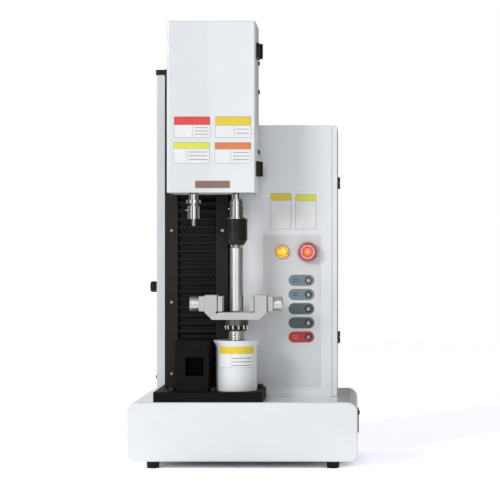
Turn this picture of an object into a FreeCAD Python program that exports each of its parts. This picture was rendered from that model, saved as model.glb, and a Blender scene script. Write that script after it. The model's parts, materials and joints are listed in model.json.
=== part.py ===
import FreeCAD, Part
import math
import os

# Screw insertion force tester, a bench machine in millimetres. Z is up, the front faces -Y, and the
# origin is on the table under the middle of the base. A ball screw lifts a crosshead with two
# spindles. The left one drives a bit over a fixture block. The right one turns a rod in a drill
# chuck, above a small vise that stands on a torque sensor. Each function below makes one sub-part.

# Sheet metal and fits
SHEET = 2.0
RUN_FIT = 0.05
SLIDE_FIT = 0.3
SEAM = 0.5

# How far a cutting tool runs past a face
OVERRUN = 1.0

# Base casing, feet and chassis
OVERALL_HEIGHT = 867.0
BASE_WIDTH = 446.0
BASE_DEPTH = 360.0
BASE_HEIGHT = 115.0
BASE_TOP_RADIUS = 20.0
BASE_BOTTOM_RADIUS = 15.0
BASE_RIM_RADIUS = 3.0
FOOT_HEIGHT = 15.0
FOOT_RADIUS = 13.0
FOOT_INSET_X = 48.0
FOOT_INSET_Y = 30.0
FOOT_TAPER = 1.5
BOTTOM_FLANGE = 70.0
CHASSIS_THICKNESS = 3.0
CHASSIS_OVERLAP = 40.0
POST_WIDTH = 24.0
POST_INSET_X = 74.0
POST_INSET_Y = 36.0

# Mains inlet and rocker on the right side of the base
INLET_Y = 63.0
INLET_WIDTH = 28.0
INLET_HEIGHT = 50.0
INLET_PROUD = 2.5
INLET_DEPTH = 34.0
INLET_LIP = 2.0
SOCKET_WIDTH = 24.0
SOCKET_HEIGHT = 17.0
SOCKET_DEPTH = 20.0
PIN_LENGTH = 13.0
PIN_WIDTH = 2.0
PIN_HEIGHT = 4.5
PIN_SPACING = 7.0
ROCKER_WIDTH = 16.0
ROCKER_RADIUS = 6.7
ROCKER_PROUD = 5.0
ROCKER_TILT = 7.0

# Stations and machine plate
LEFT_X = -99.0
RIGHT_X = -15.0
STATION_INSET = 60.0
PLATE_THICKNESS = 19.0
PLATE_LEFT_MARGIN = 11.0
PLATE_RIGHT_MARGIN = 54.0
PLATE_FRONT_MARGIN = 1.0
PLATE_EDGE = 1.0
SHAFT_HOLE_RADIUS = 15.0

# Linear module
MODULE_WIDTH = 124.0
MODULE_SETBACK = 130.0
MODULE_DEPTH = 70.0
MODULE_WALL = 12.0
MODULE_BACK_THICKNESS = 15.0
SLOT_WIDTH = 6.0
SLOT_DEPTH = 5.0
STRIP_WIDTH = 23.5
STRIP_THICKNESS = 4.0
COUNTERBORE_RADIUS = 5.5
COUNTERBORE_DEPTH = 2.5
LOWER_END = 22.0
UPPER_END = 15.0
RAIL_WIDTH = 15.0
RAIL_HEIGHT = 13.0
RAIL_WAIST = 2.0
RAIL_OFFSET = 31.0
GUIDE_WIDTH = 30.0
GUIDE_HEIGHT = 21.0
GUIDE_LENGTH = 40.0
GUIDE_STANDOFF = 26.0
SCREW_RADIUS = 8.0
SCREW_STANDOFF = 13.0
SCREW_END_PLAY = 1.0
COUPLING_RADIUS = 12.0
COUPLING_LENGTH = 25.0
BELLOWS_PITCH = 16.0
BELLOWS_DEPTH = 12.0
BELLOWS_CLOTH = 1.6
BELLOWS_SIDE_GAP = 1.0
BELLOWS_PACKED = 21.0
MOTOR_SIZE = 57.0
MOTOR_CORNER = 5.0
MOTOR_LENGTH = 78.0
MOTOR_PILOT_RADIUS = 11.0
MOTOR_PILOT_HEIGHT = 3.0

# Column and rear cover
COLUMN_WIDTH = 106.0
REAR_MARGIN = 1.5
COLUMN_WALL = 5.0
COLUMN_DROP = 10.0
REAR_LEFT_MARGIN = 42.0
REAR_RIGHT_MARGIN = 42.0
REAR_DEPTH = 23.5
REAR_RISE = 9.0
CAP_THICKNESS = 11.0
CAP_OVERHANG = 1.5
GLAND_RADIUS = 11.5
GLAND_LENGTH = 14.0
GLAND_HEIGHT = 346.0
GLAND_RIB = 1.0
GLAND_COLLAR = 3.5
GLAND_ROUNDING = 4.0

# Sensor housing, torque sensor and stem
HOUSING_RADIUS = 40.5
HOUSING_HEIGHT = 98.5
HOUSING_WALL = 2.5
RIM_RADIUS = 45.5
RIM_TAPER = 12.0
RIM_LIP = 2.0
SENSOR_FLANGE_RADIUS = 32.0
SENSOR_FLANGE_HEIGHT = 8.0
SENSOR_RADIUS = 27.0
SENSOR_HEIGHT = 82.0
STEM_RADIUS = 16.0
STEM_EXPOSED = 18.5
STEM_STEP_RADIUS = 19.5
STEM_STEP_HEIGHT = 10.5
STEM_FLANGE_RADIUS = 23.5
STEM_FLANGE_HEIGHT = 11.2
STEM_HOLE_GAP = 0.8

# Vise
VISE_WIDTH = 121.5
VISE_DEPTH = 50.0
VISE_FLOOR = 14.5
ARM_THICKNESS = 24.2
ARM_HEIGHT = 33.8
VISE_CHAMFER = 14.5
RELIEF_RADIUS = 2.2
JAW_THICKNESS = 9.55
JAW_HEIGHT = 30.0
JAW_DEPTH = 46.0
JAW_LIFT = 1.5
JAW_BACK_GAP = 0.5
TUBE_RADIUS = 7.0
TUBE_LENGTH = 20.0
GUIDE_PIN_RADIUS = 3.0
GUIDE_PIN_SPACING = 32.0
SCREW_BLOCK_WIDTH = 11.6
SCREW_BLOCK_HEIGHT = 29.0
SCREW_BLOCK_DEPTH = 42.0
KNOB_RADIUS = 14.25
KNOB_LENGTH = 18.6
KNOB_EDGE = 1.2
KNOB_SHAFT_RADIUS = 4.0
KNOB_SHAFT_LENGTH = 41.0

# Fixture block
FIXTURE_WIDTH = 65.0
FIXTURE_DEPTH = 115.0
FIXTURE_HEIGHT = 99.0
FIXTURE_EDGE = 1.5
WINDOW_SIZE = 36.0
WINDOW_SHIFT = 5.5
WINDOW_BOTTOM = 31.0
WINDOW_DEPTH = 62.0
GUIDE_BORE_RADIUS = 6.0

# Rod and drill chuck
ROD_RADIUS = 13.5
ROD_LENGTH = 125.0
ROD_CLEARANCE = 1.8
ROD_EDGE = 1.0
SHANK_RADIUS = 6.0
SHANK_LENGTH = 36.0
CHUCK_RADIUS = 21.5
NOSE_GAP = 5.0
NOSE_HEIGHT = 10.0
NOSE_RADIUS = 15.0
SLEEVE_LENGTH = 34.0
SLEEVE_INNER_RADIUS = 19.2
SLEEVE_FLANGE = 5.0
SLEEVE_GROOVE = 0.6
SLEEVE_GROOVE_WIDTH = 1.2
SLEEVE_GROOVE_PITCH = 3.4
CORE_RADIUS = 16.0
LAND_HEIGHT = 4.0
CHUCK_RING_HEIGHT = 6.7
CHUCK_TEETH = 24
CHUCK_TOOTH_DEPTH = 1.2
CHUCK_BORE_GAP = 0.5
JAW_ROD_RADIUS = 4.0
JAW_ROD_LENGTH = 24.0
JAW_TILT = 10.0
JAW_TIP_OFFSET = 3.4
JAW_TIP_GAP = 1.0
JAW_BEARINGS = (270.0, 30.0, 150.0)

# Spindles
ARBOR_LENGTH = 14.0
QUILL_FOOT_RADIUS = 19.5
QUILL_FOOT_HEIGHT = 2.8
QUILL_RADIUS = 14.8
QUILL_LENGTH = 26.0
QUILL_GROOVE = 1.6
QUILL_GROOVE_WIDTH = 2.0
QUILL_COLLAR = 6.0
QUILL_SHOULDER_RADIUS = 12.0
QUILL_SHOULDER = 5.0
QUILL_NECK_SHOWING = 11.0
SET_SCREW_RADIUS = 2.5
SET_SCREW_PROUD = 1.2
SET_SCREW_HEIGHT = 20.0
RIGHT_NECK_RADIUS = 6.5
LEFT_NECK_RADIUS = 9.35
LEFT_NECK_SHOWING = 12.6
LEFT_FLANGE_RADIUS = 14.75
LEFT_FLANGE_HEIGHT = 6.8
LEFT_WAIST_RADIUS = 7.5
LEFT_WAIST_HEIGHT = 5.1
HOLDER_RADIUS = 12.0
HOLDER_LENGTH = 25.5
CLAMP_SCREW_RADIUS = 2.5
CLAMP_SCREW_PROUD = 4.0
CLAMP_SCREW_HEIGHT = 18.0
BIT_RADIUS = 4.0
BIT_LENGTH = 13.4
SPINDLE_COUPLING_RADIUS = 14.0
SPINDLE_COUPLING_LENGTH = 34.0
MOTOR_SHAFT_RADIUS = 5.0

# Crosshead: hood, bracket and carriage
HOOD_LEFT_MARGIN = 47.0
HOOD_RIGHT_MARGIN = 40.5
HOOD_GAP = 6.0
HOOD_DEPTH = 122.0
DOOR_DEPTH = 58.0
HOOD_EDGE = 4.0
CARRIAGE_RAISE = 25.0
CARRIAGE_WIDTH = 92.0
CARRIAGE_HEIGHT = 90.0
CARRIAGE_THICKNESS = 12.0
NUT_WIDTH = 29.0
NUT_DEPTH = 24.0
LIFT_TRAVEL = 100.0
BRACKET_THICKNESS = 12.0
BRACKET_HEIGHT = 176.0
BRACKET_SIDE_GAP = 2.0
FLOOR_RECESS = 7.0
FLOOR_THICKNESS = 10.0
FLOOR_FRONT_GAP = 2.0
SWING_GAP = 1.5
BOSS_RADIUS = 22.0
BOSS_HEIGHT = 38.0
RIB_THICKNESS = 6.0
RIB_DEPTH = 40.0
SHELF_HEIGHT = 78.0
SHELF_THICKNESS = 8.0
SHELF_DEPTH = 94.0
SHELF_HOLE_RADIUS = 16.0
GEARBOX_RADIUS = 26.0
GEARBOX_HEIGHT = 30.0
HEAD_MOTOR_LENGTH = 86.0
ENCODER_RADIUS = 18.0
ENCODER_HEIGHT = 20.0

# Block hinges of the hood door
HOOD_HINGE_HEIGHT = 29.0
HOOD_HINGE_RADIUS = 5.75
HOOD_HINGE_LEAF = 20.0
HOOD_HINGE_THICKNESS = 5.0
HOOD_HINGE_PIN = 2.5
HOOD_HINGE_TOP_DROP = 53.0
HOOD_HINGE_BOTTOM_RAISE = 48.0

# Control cabinet
CABINET_GAP = 7.0
CABINET_WIDTH = 211.8
CABINET_SETBACK = 143.0
CABINET_DEPTH = 187.0
CABINET_HEIGHT = 545.0
CABINET_EDGE = 3.0
SIDE_DOOR_DEPTH = 10.0
SIDE_RETURN = 14.0
DOOR_HINGE_HEIGHT = 25.0
DOOR_HINGE_RADIUS = 3.5
DOOR_HINGE_PIN = 1.6
DOOR_HINGE_OFFSET = 1.0
DOOR_HINGE_LEAF = 22.0
DOOR_HINGE_THICKNESS = 1.5
DOOR_HINGE_INSET = 109.5
DOOR_HINGE_ROUNDING = 1.6

# Panel and controls
PANEL_LEFT_OFFSET = 63.0
PANEL_RAISE = 19.0
PANEL_WIDTH = 115.0
PANEL_HEIGHT = 305.0
PANEL_THICKNESS = 0.8
START_OFFSET = 39.0
ESTOP_OFFSET = 89.7
LARGE_BUTTON_RAISE = 271.0
SMALL_BUTTON_OFFSET = 91.0
SMALL_BUTTON_RAISE = 100.0
SMALL_BUTTON_PITCH = 28.5
SMALL_BUTTON_COUNT = 5
SWITCH_HOLE_GAP = 0.2
START_BEZEL_RADIUS = 14.4
START_BEZEL_HEIGHT = 3.0
START_NECK_RADIUS = 13.2
START_CAP_RADIUS = 12.0
START_CAP_PROUD = 5.0
ESTOP_COLLAR_RADIUS = 16.0
ESTOP_COLLAR_HEIGHT = 3.0
ESTOP_NECK_RADIUS = 11.0
ESTOP_STEM_RADIUS = 8.0
ESTOP_PIVOT_RADIUS = 5.0
ESTOP_PIVOT_LENGTH = 7.0
ESTOP_HEAD_RADIUS = 20.0
ESTOP_FACE_RADIUS = 17.0
ESTOP_DISC_RADIUS = 11.0
ESTOP_HEAD_HEIGHT = 13.0
ESTOP_TRAVEL = 4.0
ESTOP_GAP = 1.0
BEZEL_RADIUS = 7.0
BEZEL_HEIGHT = 1.5
BEZEL_NECK_RADIUS = 6.0
PLUNGER_RADIUS = 4.5
PLUNGER_PROUD = 1.8
CAP_LENGTH = 14.0
SWITCH_BODY_LENGTH = 34.0
LARGE_SWITCH_SIZE = 30.0

# Electronics in the cabinet
BOARD_WIDTH = 120.0
BOARD_HEIGHT = 190.0
BOARD_THICKNESS = 1.6
BOARD_STANDOFF = 6.0
BOARD_LEFT_OFFSET = 50.0
BOARD_RAISE = 270.0
SUPPLY_WIDTH = 100.0
SUPPLY_DEPTH = 88.0
SUPPLY_HEIGHT = 110.0

# Screws that show
STRIP_SCREW_RADIUS = 3.6
STRIP_SCREW_HEIGHT = 3.0
STRIP_SCREW_INSET = 11.0
STRIP_SCREW_RAISE = 27.0
STRIP_SCREW_PITCH = 143.6
STRIP_SCREW_ROWS = 5
PLATE_SCREW_RADIUS = 6.0
PLATE_SCREW_HEIGHT = 7.0
PLATE_SCREW_INSET = 10.0
PLATE_SCREW_SETBACK = 30.0
SCREW_HEAD_EDGE = 0.6
HEX_SHARE = 0.55
HEX_DEPTH_SHARE = 0.5

# Places worked out from the sizes above
RIGHT = FreeCAD.Vector(1, 0, 0)
BACK = FreeCAD.Vector(0, 1, 0)
UP = FreeCAD.Vector(0, 0, 1)

BASE_TOP = FOOT_HEIGHT + BASE_HEIGHT
BASE_MIDDLE = FOOT_HEIGHT + BASE_HEIGHT / 2
BASE_FRONT = -BASE_DEPTH / 2
STATION_Y = BASE_FRONT + STATION_INSET
PLATE_TOP = BASE_TOP + PLATE_THICKNESS
MODULE_FRONT = BASE_FRONT + MODULE_SETBACK
MODULE_X = (LEFT_X - MODULE_WIDTH / 2, LEFT_X + MODULE_WIDTH / 2)
MODULE_BACK = MODULE_FRONT + MODULE_DEPTH
RAIL_SEAT = MODULE_BACK - MODULE_BACK_THICKNESS
SCREW_Y = RAIL_SEAT - SCREW_STANDOFF
CARRIAGE_BACK = RAIL_SEAT - GUIDE_STANDOFF
CARRIAGE_FRONT = CARRIAGE_BACK - CARRIAGE_THICKNESS
COLUMN_BACK = BASE_DEPTH / 2 - REAR_MARGIN - REAR_DEPTH

HOUSING_TOP = PLATE_TOP + HOUSING_HEIGHT
STEM_STEP_BOTTOM = HOUSING_TOP + STEM_EXPOSED
STEM_FLANGE_BOTTOM = STEM_STEP_BOTTOM + STEM_STEP_HEIGHT
VISE_BOTTOM = STEM_FLANGE_BOTTOM + STEM_FLANGE_HEIGHT
VISE_FLOOR_TOP = VISE_BOTTOM + VISE_FLOOR
VISE_TOP = VISE_FLOOR_TOP + ARM_HEIGHT
ARM_OUTER = VISE_WIDTH / 2
ARM_INNER = ARM_OUTER - ARM_THICKNESS
JAW_MIDDLE = VISE_FLOOR_TOP + JAW_LIFT + JAW_HEIGHT / 2

ROD_BOTTOM = VISE_FLOOR_TOP + ROD_CLEARANCE
ROD_TOP = ROD_BOTTOM + ROD_LENGTH
NOSE_BOTTOM = ROD_TOP + NOSE_GAP
SLEEVE_BOTTOM = NOSE_BOTTOM + NOSE_HEIGHT
SLEEVE_TOP = SLEEVE_BOTTOM + SLEEVE_LENGTH
CHUCK_TOP = SLEEVE_TOP + SLIDE_FIT + CHUCK_RING_HEIGHT
QUILL_TOP = CHUCK_TOP + QUILL_LENGTH + QUILL_GROOVE_WIDTH + QUILL_COLLAR + QUILL_SHOULDER

HOOD_BOTTOM = QUILL_TOP + QUILL_NECK_SHOWING
HOOD_TOP = OVERALL_HEIGHT
HOOD_X = (LEFT_X - HOOD_LEFT_MARGIN, RIGHT_X + HOOD_RIGHT_MARGIN)
HOOD_REAR = MODULE_FRONT - HOOD_GAP
HOOD_FRONT = HOOD_REAR - HOOD_DEPTH
DOOR_REAR = HOOD_FRONT + DOOR_DEPTH
HINGE_AXIS_Y = DOOR_REAR + SEAM / 2
HINGE_AXIS_X = HOOD_X[1] + HOOD_HINGE_RADIUS
BRACKET_BACK = HOOD_REAR - SHEET
BRACKET_FRONT = BRACKET_BACK - BRACKET_THICKNESS
FLOOR_BOTTOM = HOOD_BOTTOM + FLOOR_RECESS
FLOOR_TOP = FLOOR_BOTTOM + FLOOR_THICKNESS
BOSS_TOP = FLOOR_TOP + BOSS_HEIGHT
SHELF_BOTTOM = FLOOR_TOP + SHELF_HEIGHT
SHELF_TOP = SHELF_BOTTOM + SHELF_THICKNESS

CARRIAGE_BOTTOM = HOOD_BOTTOM + CARRIAGE_RAISE
CARRIAGE_TOP = CARRIAGE_BOTTOM + CARRIAGE_HEIGHT
UPPER_END_BOTTOM = CARRIAGE_TOP + LIFT_TRAVEL + BELLOWS_PACKED
MODULE_TOP = UPPER_END_BOTTOM + UPPER_END
LOWER_END_TOP = PLATE_TOP + LOWER_END
NECK_WIDTH = MODULE_WIDTH - 2 * STRIP_WIDTH - 2 * BELLOWS_SIDE_GAP
COLUMN_TOP = MODULE_TOP - COLUMN_DROP
REAR_TOP = MODULE_TOP + REAR_RISE

CABINET_X = (MODULE_X[1] + CABINET_GAP, MODULE_X[1] + CABINET_GAP + CABINET_WIDTH)
CABINET_SIDE = CABINET_X[1] - SIDE_DOOR_DEPTH - SEAM
CABINET_FRONT = BASE_FRONT + CABINET_SETBACK
CABINET_BACK = CABINET_FRONT + CABINET_DEPTH
CABINET_TOP = BASE_TOP + CABINET_HEIGHT
DOOR_AXIS_X = CABINET_X[1] + DOOR_HINGE_OFFSET
DOOR_AXIS_Y = CABINET_BACK + DOOR_HINGE_RADIUS + SLIDE_FIT
PANEL_LEFT = CABINET_X[0] + PANEL_LEFT_OFFSET
PANEL_BOTTOM = BASE_TOP + PANEL_RAISE
PANEL_FRONT = CABINET_FRONT - PANEL_THICKNESS
START_CENTRE = (PANEL_LEFT + START_OFFSET, PANEL_BOTTOM + LARGE_BUTTON_RAISE)
ESTOP_CENTRE = (PANEL_LEFT + ESTOP_OFFSET, PANEL_BOTTOM + LARGE_BUTTON_RAISE)
ESTOP_BACK = PANEL_FRONT - ESTOP_COLLAR_HEIGHT - ESTOP_TRAVEL - ESTOP_GAP
SMALL_CENTRES = [
    (PANEL_LEFT + SMALL_BUTTON_OFFSET, PANEL_BOTTOM + SMALL_BUTTON_RAISE + row * SMALL_BUTTON_PITCH)
    for row in range(SMALL_BUTTON_COUNT)
]
BASE_SIDE = BASE_WIDTH / 2
INLET_FACE = BASE_SIDE + INLET_PROUD
ROCKER_X = BASE_SIDE + ROCKER_PROUD - ROCKER_RADIUS
ROCKER_Z = BASE_MIDDLE + INLET_HEIGHT / 2 - INLET_LIP - ROCKER_RADIUS - 2 * SLIDE_FIT
SOCKET_Z = BASE_MIDDLE - INLET_HEIGHT / 2 + 2 * INLET_LIP + SOCKET_HEIGHT / 2


def point(x, y, z):
    """Point or direction in space."""
    return FreeCAD.Vector(x, y, z)


def around(middle, size):
    """Range of a size about its middle."""
    return (middle - size / 2, middle + size / 2)


def block(x, y, z):
    """Box between the ends of three ranges."""
    return Part.makeBox(x[1] - x[0], y[1] - y[0], z[1] - z[0], point(x[0], y[0], z[0]))


def rod(radius, start, axis, length):
    """Round bar that starts at a point and runs along an axis."""
    return Part.makeCylinder(radius, length, start, axis)


def turned(profile, start, axis=UP):
    """Turned solid from (radius, distance) points, standing at a point and pointing along an axis."""
    corners = [point(radius, 0, distance) for radius, distance in profile]
    solid = Part.Face(Part.makePolygon(corners + corners[:1])).revolve(point(0, 0, 0), UP, 360)
    solid.Placement = FreeCAD.Placement(start, FreeCAD.Rotation(UP, axis))
    return solid


def prism(outline, axis, span):
    """Solid with a flat outline, given in the other two axes, drawn out along one axis."""
    if axis == "x":
        corners = [point(span[0], first, second) for first, second in outline]
    elif axis == "y":
        corners = [point(first, span[0], second) for first, second in outline]
    else:
        corners = [point(first, second, span[0]) for first, second in outline]
    along = {"x": RIGHT, "y": BACK, "z": UP}[axis]
    return Part.Face(Part.makePolygon(corners + corners[:1])).extrude(along * (span[1] - span[0]))


def joined(first, *others):
    """One solid from pieces that touch or overlap."""
    return first.fuse(list(others)).removeSplitter()


def group(*solids):
    """Separate solids that share one node."""
    return Part.makeCompound(list(solids))


def straight_edges(shape, axis, where):
    """Straight edges along an axis whose middles pass a test."""
    found = []
    for edge in shape.Edges:
        if not isinstance(edge.Curve, Part.Line):
            continue
        parallel = abs(edge.Curve.Direction.dot(axis)) > 0.999
        if parallel and where(edge.CenterOfMass):
            found.append(edge)
    return found


def rounded(shape, radius, axis, where=lambda middle: True):
    """Shape with its chosen straight edges rounded."""
    return shape.makeFillet(radius, straight_edges(shape, axis, where))


def bevelled(shape, size, axis, where=lambda middle: True):
    """Shape with its chosen straight edges bevelled."""
    return shape.makeChamfer(size, straight_edges(shape, axis, where))


def rounded_rims(shape, radius, where):
    """Shape with its chosen round rims rounded, picked by a test on each rim's middle."""
    rims = [edge for edge in shape.Edges if isinstance(edge.Curve, Part.Circle)]
    return shape.makeFillet(radius, [edge for edge in rims if where(edge.Curve.Center)])


def cap_screw(radius, height, start, axis):
    """Socket cap screw's head on a seat, with a bevelled rim and a hexagon socket."""
    rim = height - SCREW_HEAD_EDGE
    profile = [(0, 0), (radius, 0), (radius, rim), (radius - SCREW_HEAD_EDGE, height), (0, height)]
    depth = height * (1 - HEX_DEPTH_SHARE)
    reach = radius * HEX_SHARE
    turns = [math.radians(60 * corner) for corner in range(7)]
    corners = [point(reach * math.cos(turn), reach * math.sin(turn), depth) for turn in turns]
    socket = Part.Face(Part.makePolygon(corners)).extrude(UP * height)
    socket.Placement = FreeCAD.Placement(start, FreeCAD.Rotation(UP, axis))
    return turned(profile, start, axis).cut(socket)


def station(x, z):
    """Point on a station's vertical axis."""
    return point(x, STATION_Y, z)


def feet():
    """Four rubber feet, narrower at the table."""
    profile = [(0, 0), (FOOT_RADIUS - FOOT_TAPER, 0), (FOOT_RADIUS, FOOT_HEIGHT), (0, FOOT_HEIGHT)]
    solids = []
    for x in (FOOT_INSET_X - BASE_SIDE, BASE_SIDE - FOOT_INSET_X):
        for y in (FOOT_INSET_Y - BASE_DEPTH / 2, BASE_DEPTH / 2 - FOOT_INSET_Y):
            solids.append(turned(profile, point(x, y, 0)))
    return group(*solids)


def base_outline(inset):
    """Base casing's rounded block, or its hollow when it is inset by the sheet."""
    x = (inset - BASE_SIDE, BASE_SIDE - inset)
    y = (inset - BASE_DEPTH / 2, BASE_DEPTH / 2 - inset)
    solid = block(x, y, (FOOT_HEIGHT + inset, BASE_TOP - inset))
    solid = rounded(solid, BASE_TOP_RADIUS - inset, BACK, lambda middle: middle.z > BASE_MIDDLE)
    return rounded(solid, BASE_BOTTOM_RADIUS - inset, BACK, lambda middle: middle.z < BASE_MIDDLE)


def base_shell():
    """White folded casing, open under its bottom flange, with holes for the lift shaft and inlet."""
    bottom = block(
        (BOTTOM_FLANGE - BASE_SIDE, BASE_SIDE - BOTTOM_FLANGE),
        (BOTTOM_FLANGE - BASE_DEPTH / 2, BASE_DEPTH / 2 - BOTTOM_FLANGE),
        (FOOT_HEIGHT - OVERRUN, FOOT_HEIGHT + 2 * SHEET),
    )
    inlet = block(
        (BASE_SIDE - 2 * SHEET, BASE_SIDE + OVERRUN),
        around(INLET_Y, INLET_WIDTH - 2 * INLET_LIP),
        around(BASE_MIDDLE, INLET_HEIGHT - 2 * INLET_LIP),
    )
    shaft = rod(SHAFT_HOLE_RADIUS, point(LEFT_X, SCREW_Y, BASE_TOP - 2 * SHEET), UP, 3 * SHEET)
    casing = base_outline(0)
    rim = [edge for edge in casing.Edges if abs(abs(edge.CenterOfMass.y) - BASE_DEPTH / 2) < 0.01]
    casing = casing.makeFillet(BASE_RIM_RADIUS, rim)
    return casing.cut([base_outline(SHEET), bottom, inlet, shaft])


def base_chassis():
    """Steel plate inside the casing, with four posts that carry the machine plate."""
    half_x = BASE_SIDE - BOTTOM_FLANGE + CHASSIS_OVERLAP
    half_y = BASE_DEPTH / 2 - BOTTOM_FLANGE + CHASSIS_OVERLAP
    bottom = FOOT_HEIGHT + SHEET
    solid = block((-half_x, half_x), (-half_y, half_y), (bottom, bottom + CHASSIS_THICKNESS))
    posts = []
    for x in (POST_INSET_X - BASE_SIDE, BASE_SIDE - POST_INSET_X):
        for y in (POST_INSET_Y - BASE_DEPTH / 2, BASE_DEPTH / 2 - POST_INSET_Y):
            posts.append(block(around(x, POST_WIDTH), around(y, POST_WIDTH), (bottom, BASE_TOP - SHEET)))
    return joined(solid, *posts)


def power_inlet():
    """Mains inlet with three pins and the rocker's round pocket."""
    front = block(
        (BASE_SIDE, INLET_FACE),
        around(INLET_Y, INLET_WIDTH),
        around(BASE_MIDDLE, INLET_HEIGHT),
    )
    front = rounded(front, INLET_LIP, RIGHT)
    body = block(
        (INLET_FACE - INLET_DEPTH, BASE_SIDE),
        around(INLET_Y, INLET_WIDTH - 2 * INLET_LIP - 2 * SWITCH_HOLE_GAP),
        around(BASE_MIDDLE, INLET_HEIGHT - 2 * INLET_LIP - 2 * SWITCH_HOLE_GAP),
    )
    socket_bottom = INLET_FACE - SOCKET_DEPTH
    socket = block(
        (socket_bottom, INLET_FACE + OVERRUN),
        around(INLET_Y, SOCKET_WIDTH - 2 * INLET_LIP),
        around(SOCKET_Z, SOCKET_HEIGHT),
    )
    socket = bevelled(socket, 2 * INLET_LIP, RIGHT, lambda middle: middle.z < SOCKET_Z)
    pocket = rod(
        ROCKER_RADIUS + SLIDE_FIT,
        point(ROCKER_X, INLET_Y - ROCKER_WIDTH / 2 - SLIDE_FIT, ROCKER_Z),
        BACK,
        ROCKER_WIDTH + 2 * SLIDE_FIT,
    )
    pins = []
    for step, height in ((-1, -SOCKET_HEIGHT / 6), (0, SOCKET_HEIGHT / 6), (1, -SOCKET_HEIGHT / 6)):
        y = around(INLET_Y + step * PIN_SPACING, PIN_WIDTH)
        z = around(SOCKET_Z + height, PIN_HEIGHT)
        pins.append(block((socket_bottom - OVERRUN, socket_bottom + PIN_LENGTH), y, z))
    return joined(joined(front, body).cut([socket, pocket]), *pins)


def power_rocker():
    """Rocker: a round bar with two flats that meet in a ridge, tilted to its off side."""
    start = point(ROCKER_X, INLET_Y - ROCKER_WIDTH / 2, ROCKER_Z)
    ridge = ROCKER_X + ROCKER_RADIUS * math.cos(math.radians(2 * ROCKER_TILT))
    reach = 2 * ROCKER_RADIUS
    slope = reach * math.tan(math.radians(ROCKER_TILT))
    outline = [
        (ridge, ROCKER_Z),
        (ridge - slope, ROCKER_Z + reach),
        (ROCKER_X - reach, ROCKER_Z + reach),
        (ROCKER_X - reach, ROCKER_Z - reach),
        (ridge - slope, ROCKER_Z - reach),
    ]
    bar = rod(ROCKER_RADIUS, start, BACK, ROCKER_WIDTH)
    solid = bar.common(prism(outline, "y", around(INLET_Y, 2 * ROCKER_WIDTH)))
    solid.rotate(point(ROCKER_X, 0, ROCKER_Z), BACK, ROCKER_TILT)
    return solid


def base_plate():
    """Black machine plate under the module and stations, stepped back at the cabinet."""
    left = MODULE_X[0] - PLATE_LEFT_MARGIN
    right = RIGHT_X + PLATE_RIGHT_MARGIN
    front = PLATE_FRONT_MARGIN - BASE_DEPTH / 2
    step_x = CABINET_X[0] - SEAM
    step_y = CABINET_FRONT - PANEL_THICKNESS - SEAM
    outline = [
        (left, front),
        (right, front),
        (right, step_y),
        (step_x, step_y),
        (step_x, COLUMN_BACK),
        (left, COLUMN_BACK),
    ]
    solid = prism(outline, "z", (BASE_TOP, PLATE_TOP))
    solid = bevelled(
        solid,
        PLATE_EDGE,
        RIGHT,
        lambda middle: middle.z > PLATE_TOP - 0.1 and middle.y < step_y - 0.1,
    )
    start = point(LEFT_X, SCREW_Y, BASE_TOP - OVERRUN)
    return solid.cut(rod(SHAFT_HOLE_RADIUS, start, UP, PLATE_THICKNESS + 2 * OVERRUN))


def module_frame():
    """Module's extruded back and walls with their slots, and the two end blocks with screw bores."""
    outer = block(MODULE_X, (MODULE_FRONT + STRIP_THICKNESS, MODULE_BACK), (PLATE_TOP, MODULE_TOP))
    inner_x = (MODULE_X[0] + MODULE_WALL, MODULE_X[1] - MODULE_WALL)
    hollow = block(inner_x, (MODULE_FRONT, RAIL_SEAT), (PLATE_TOP - OVERRUN, MODULE_TOP + OVERRUN))
    slots = []
    for face, inward in ((MODULE_X[0], 1), (MODULE_X[1], -1)):
        x = sorted((face - inward, face + inward * SLOT_DEPTH))
        for y in (MODULE_FRONT + MODULE_DEPTH / 3, MODULE_FRONT + 2 * MODULE_DEPTH / 3):
            slots.append(block(x, around(y, SLOT_WIDTH), (PLATE_TOP - OVERRUN, MODULE_TOP + OVERRUN)))
    end_front = MODULE_FRONT + SEAM
    lower = block(around(LEFT_X, NECK_WIDTH), (end_front, RAIL_SEAT), (PLATE_TOP, LOWER_END_TOP))
    upper = block(around(LEFT_X, NECK_WIDTH), (end_front, RAIL_SEAT), (UPPER_END_BOTTOM, MODULE_TOP))
    behind = (CARRIAGE_BACK, RAIL_SEAT)
    lower_ties = block(inner_x, behind, (PLATE_TOP, LOWER_END_TOP))
    upper_ties = block(inner_x, behind, (UPPER_END_BOTTOM, MODULE_TOP))
    bore = rod(
        SCREW_RADIUS + RUN_FIT,
        point(LEFT_X, SCREW_Y, PLATE_TOP - OVERRUN),
        UP,
        MODULE_TOP - SCREW_END_PLAY - PLATE_TOP + OVERRUN,
    )
    pocket = rod(
        COUPLING_RADIUS + SEAM,
        point(LEFT_X, SCREW_Y, PLATE_TOP - OVERRUN),
        UP,
        COUPLING_LENGTH + MOTOR_PILOT_HEIGHT + 2 * SCREW_END_PLAY - PLATE_THICKNESS + OVERRUN,
    )
    return joined(outer.cut([hollow] + slots), lower, upper, lower_ties, upper_ties).cut([bore, pocket])


def strip_screw_rows(x):
    """Points on a strip's front face, at one x, where its screws sit."""
    lowest = PLATE_TOP + STRIP_SCREW_RAISE
    heights = [lowest + row * STRIP_SCREW_PITCH for row in range(STRIP_SCREW_ROWS)]
    return [point(x, MODULE_FRONT, z) for z in heights]


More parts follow.
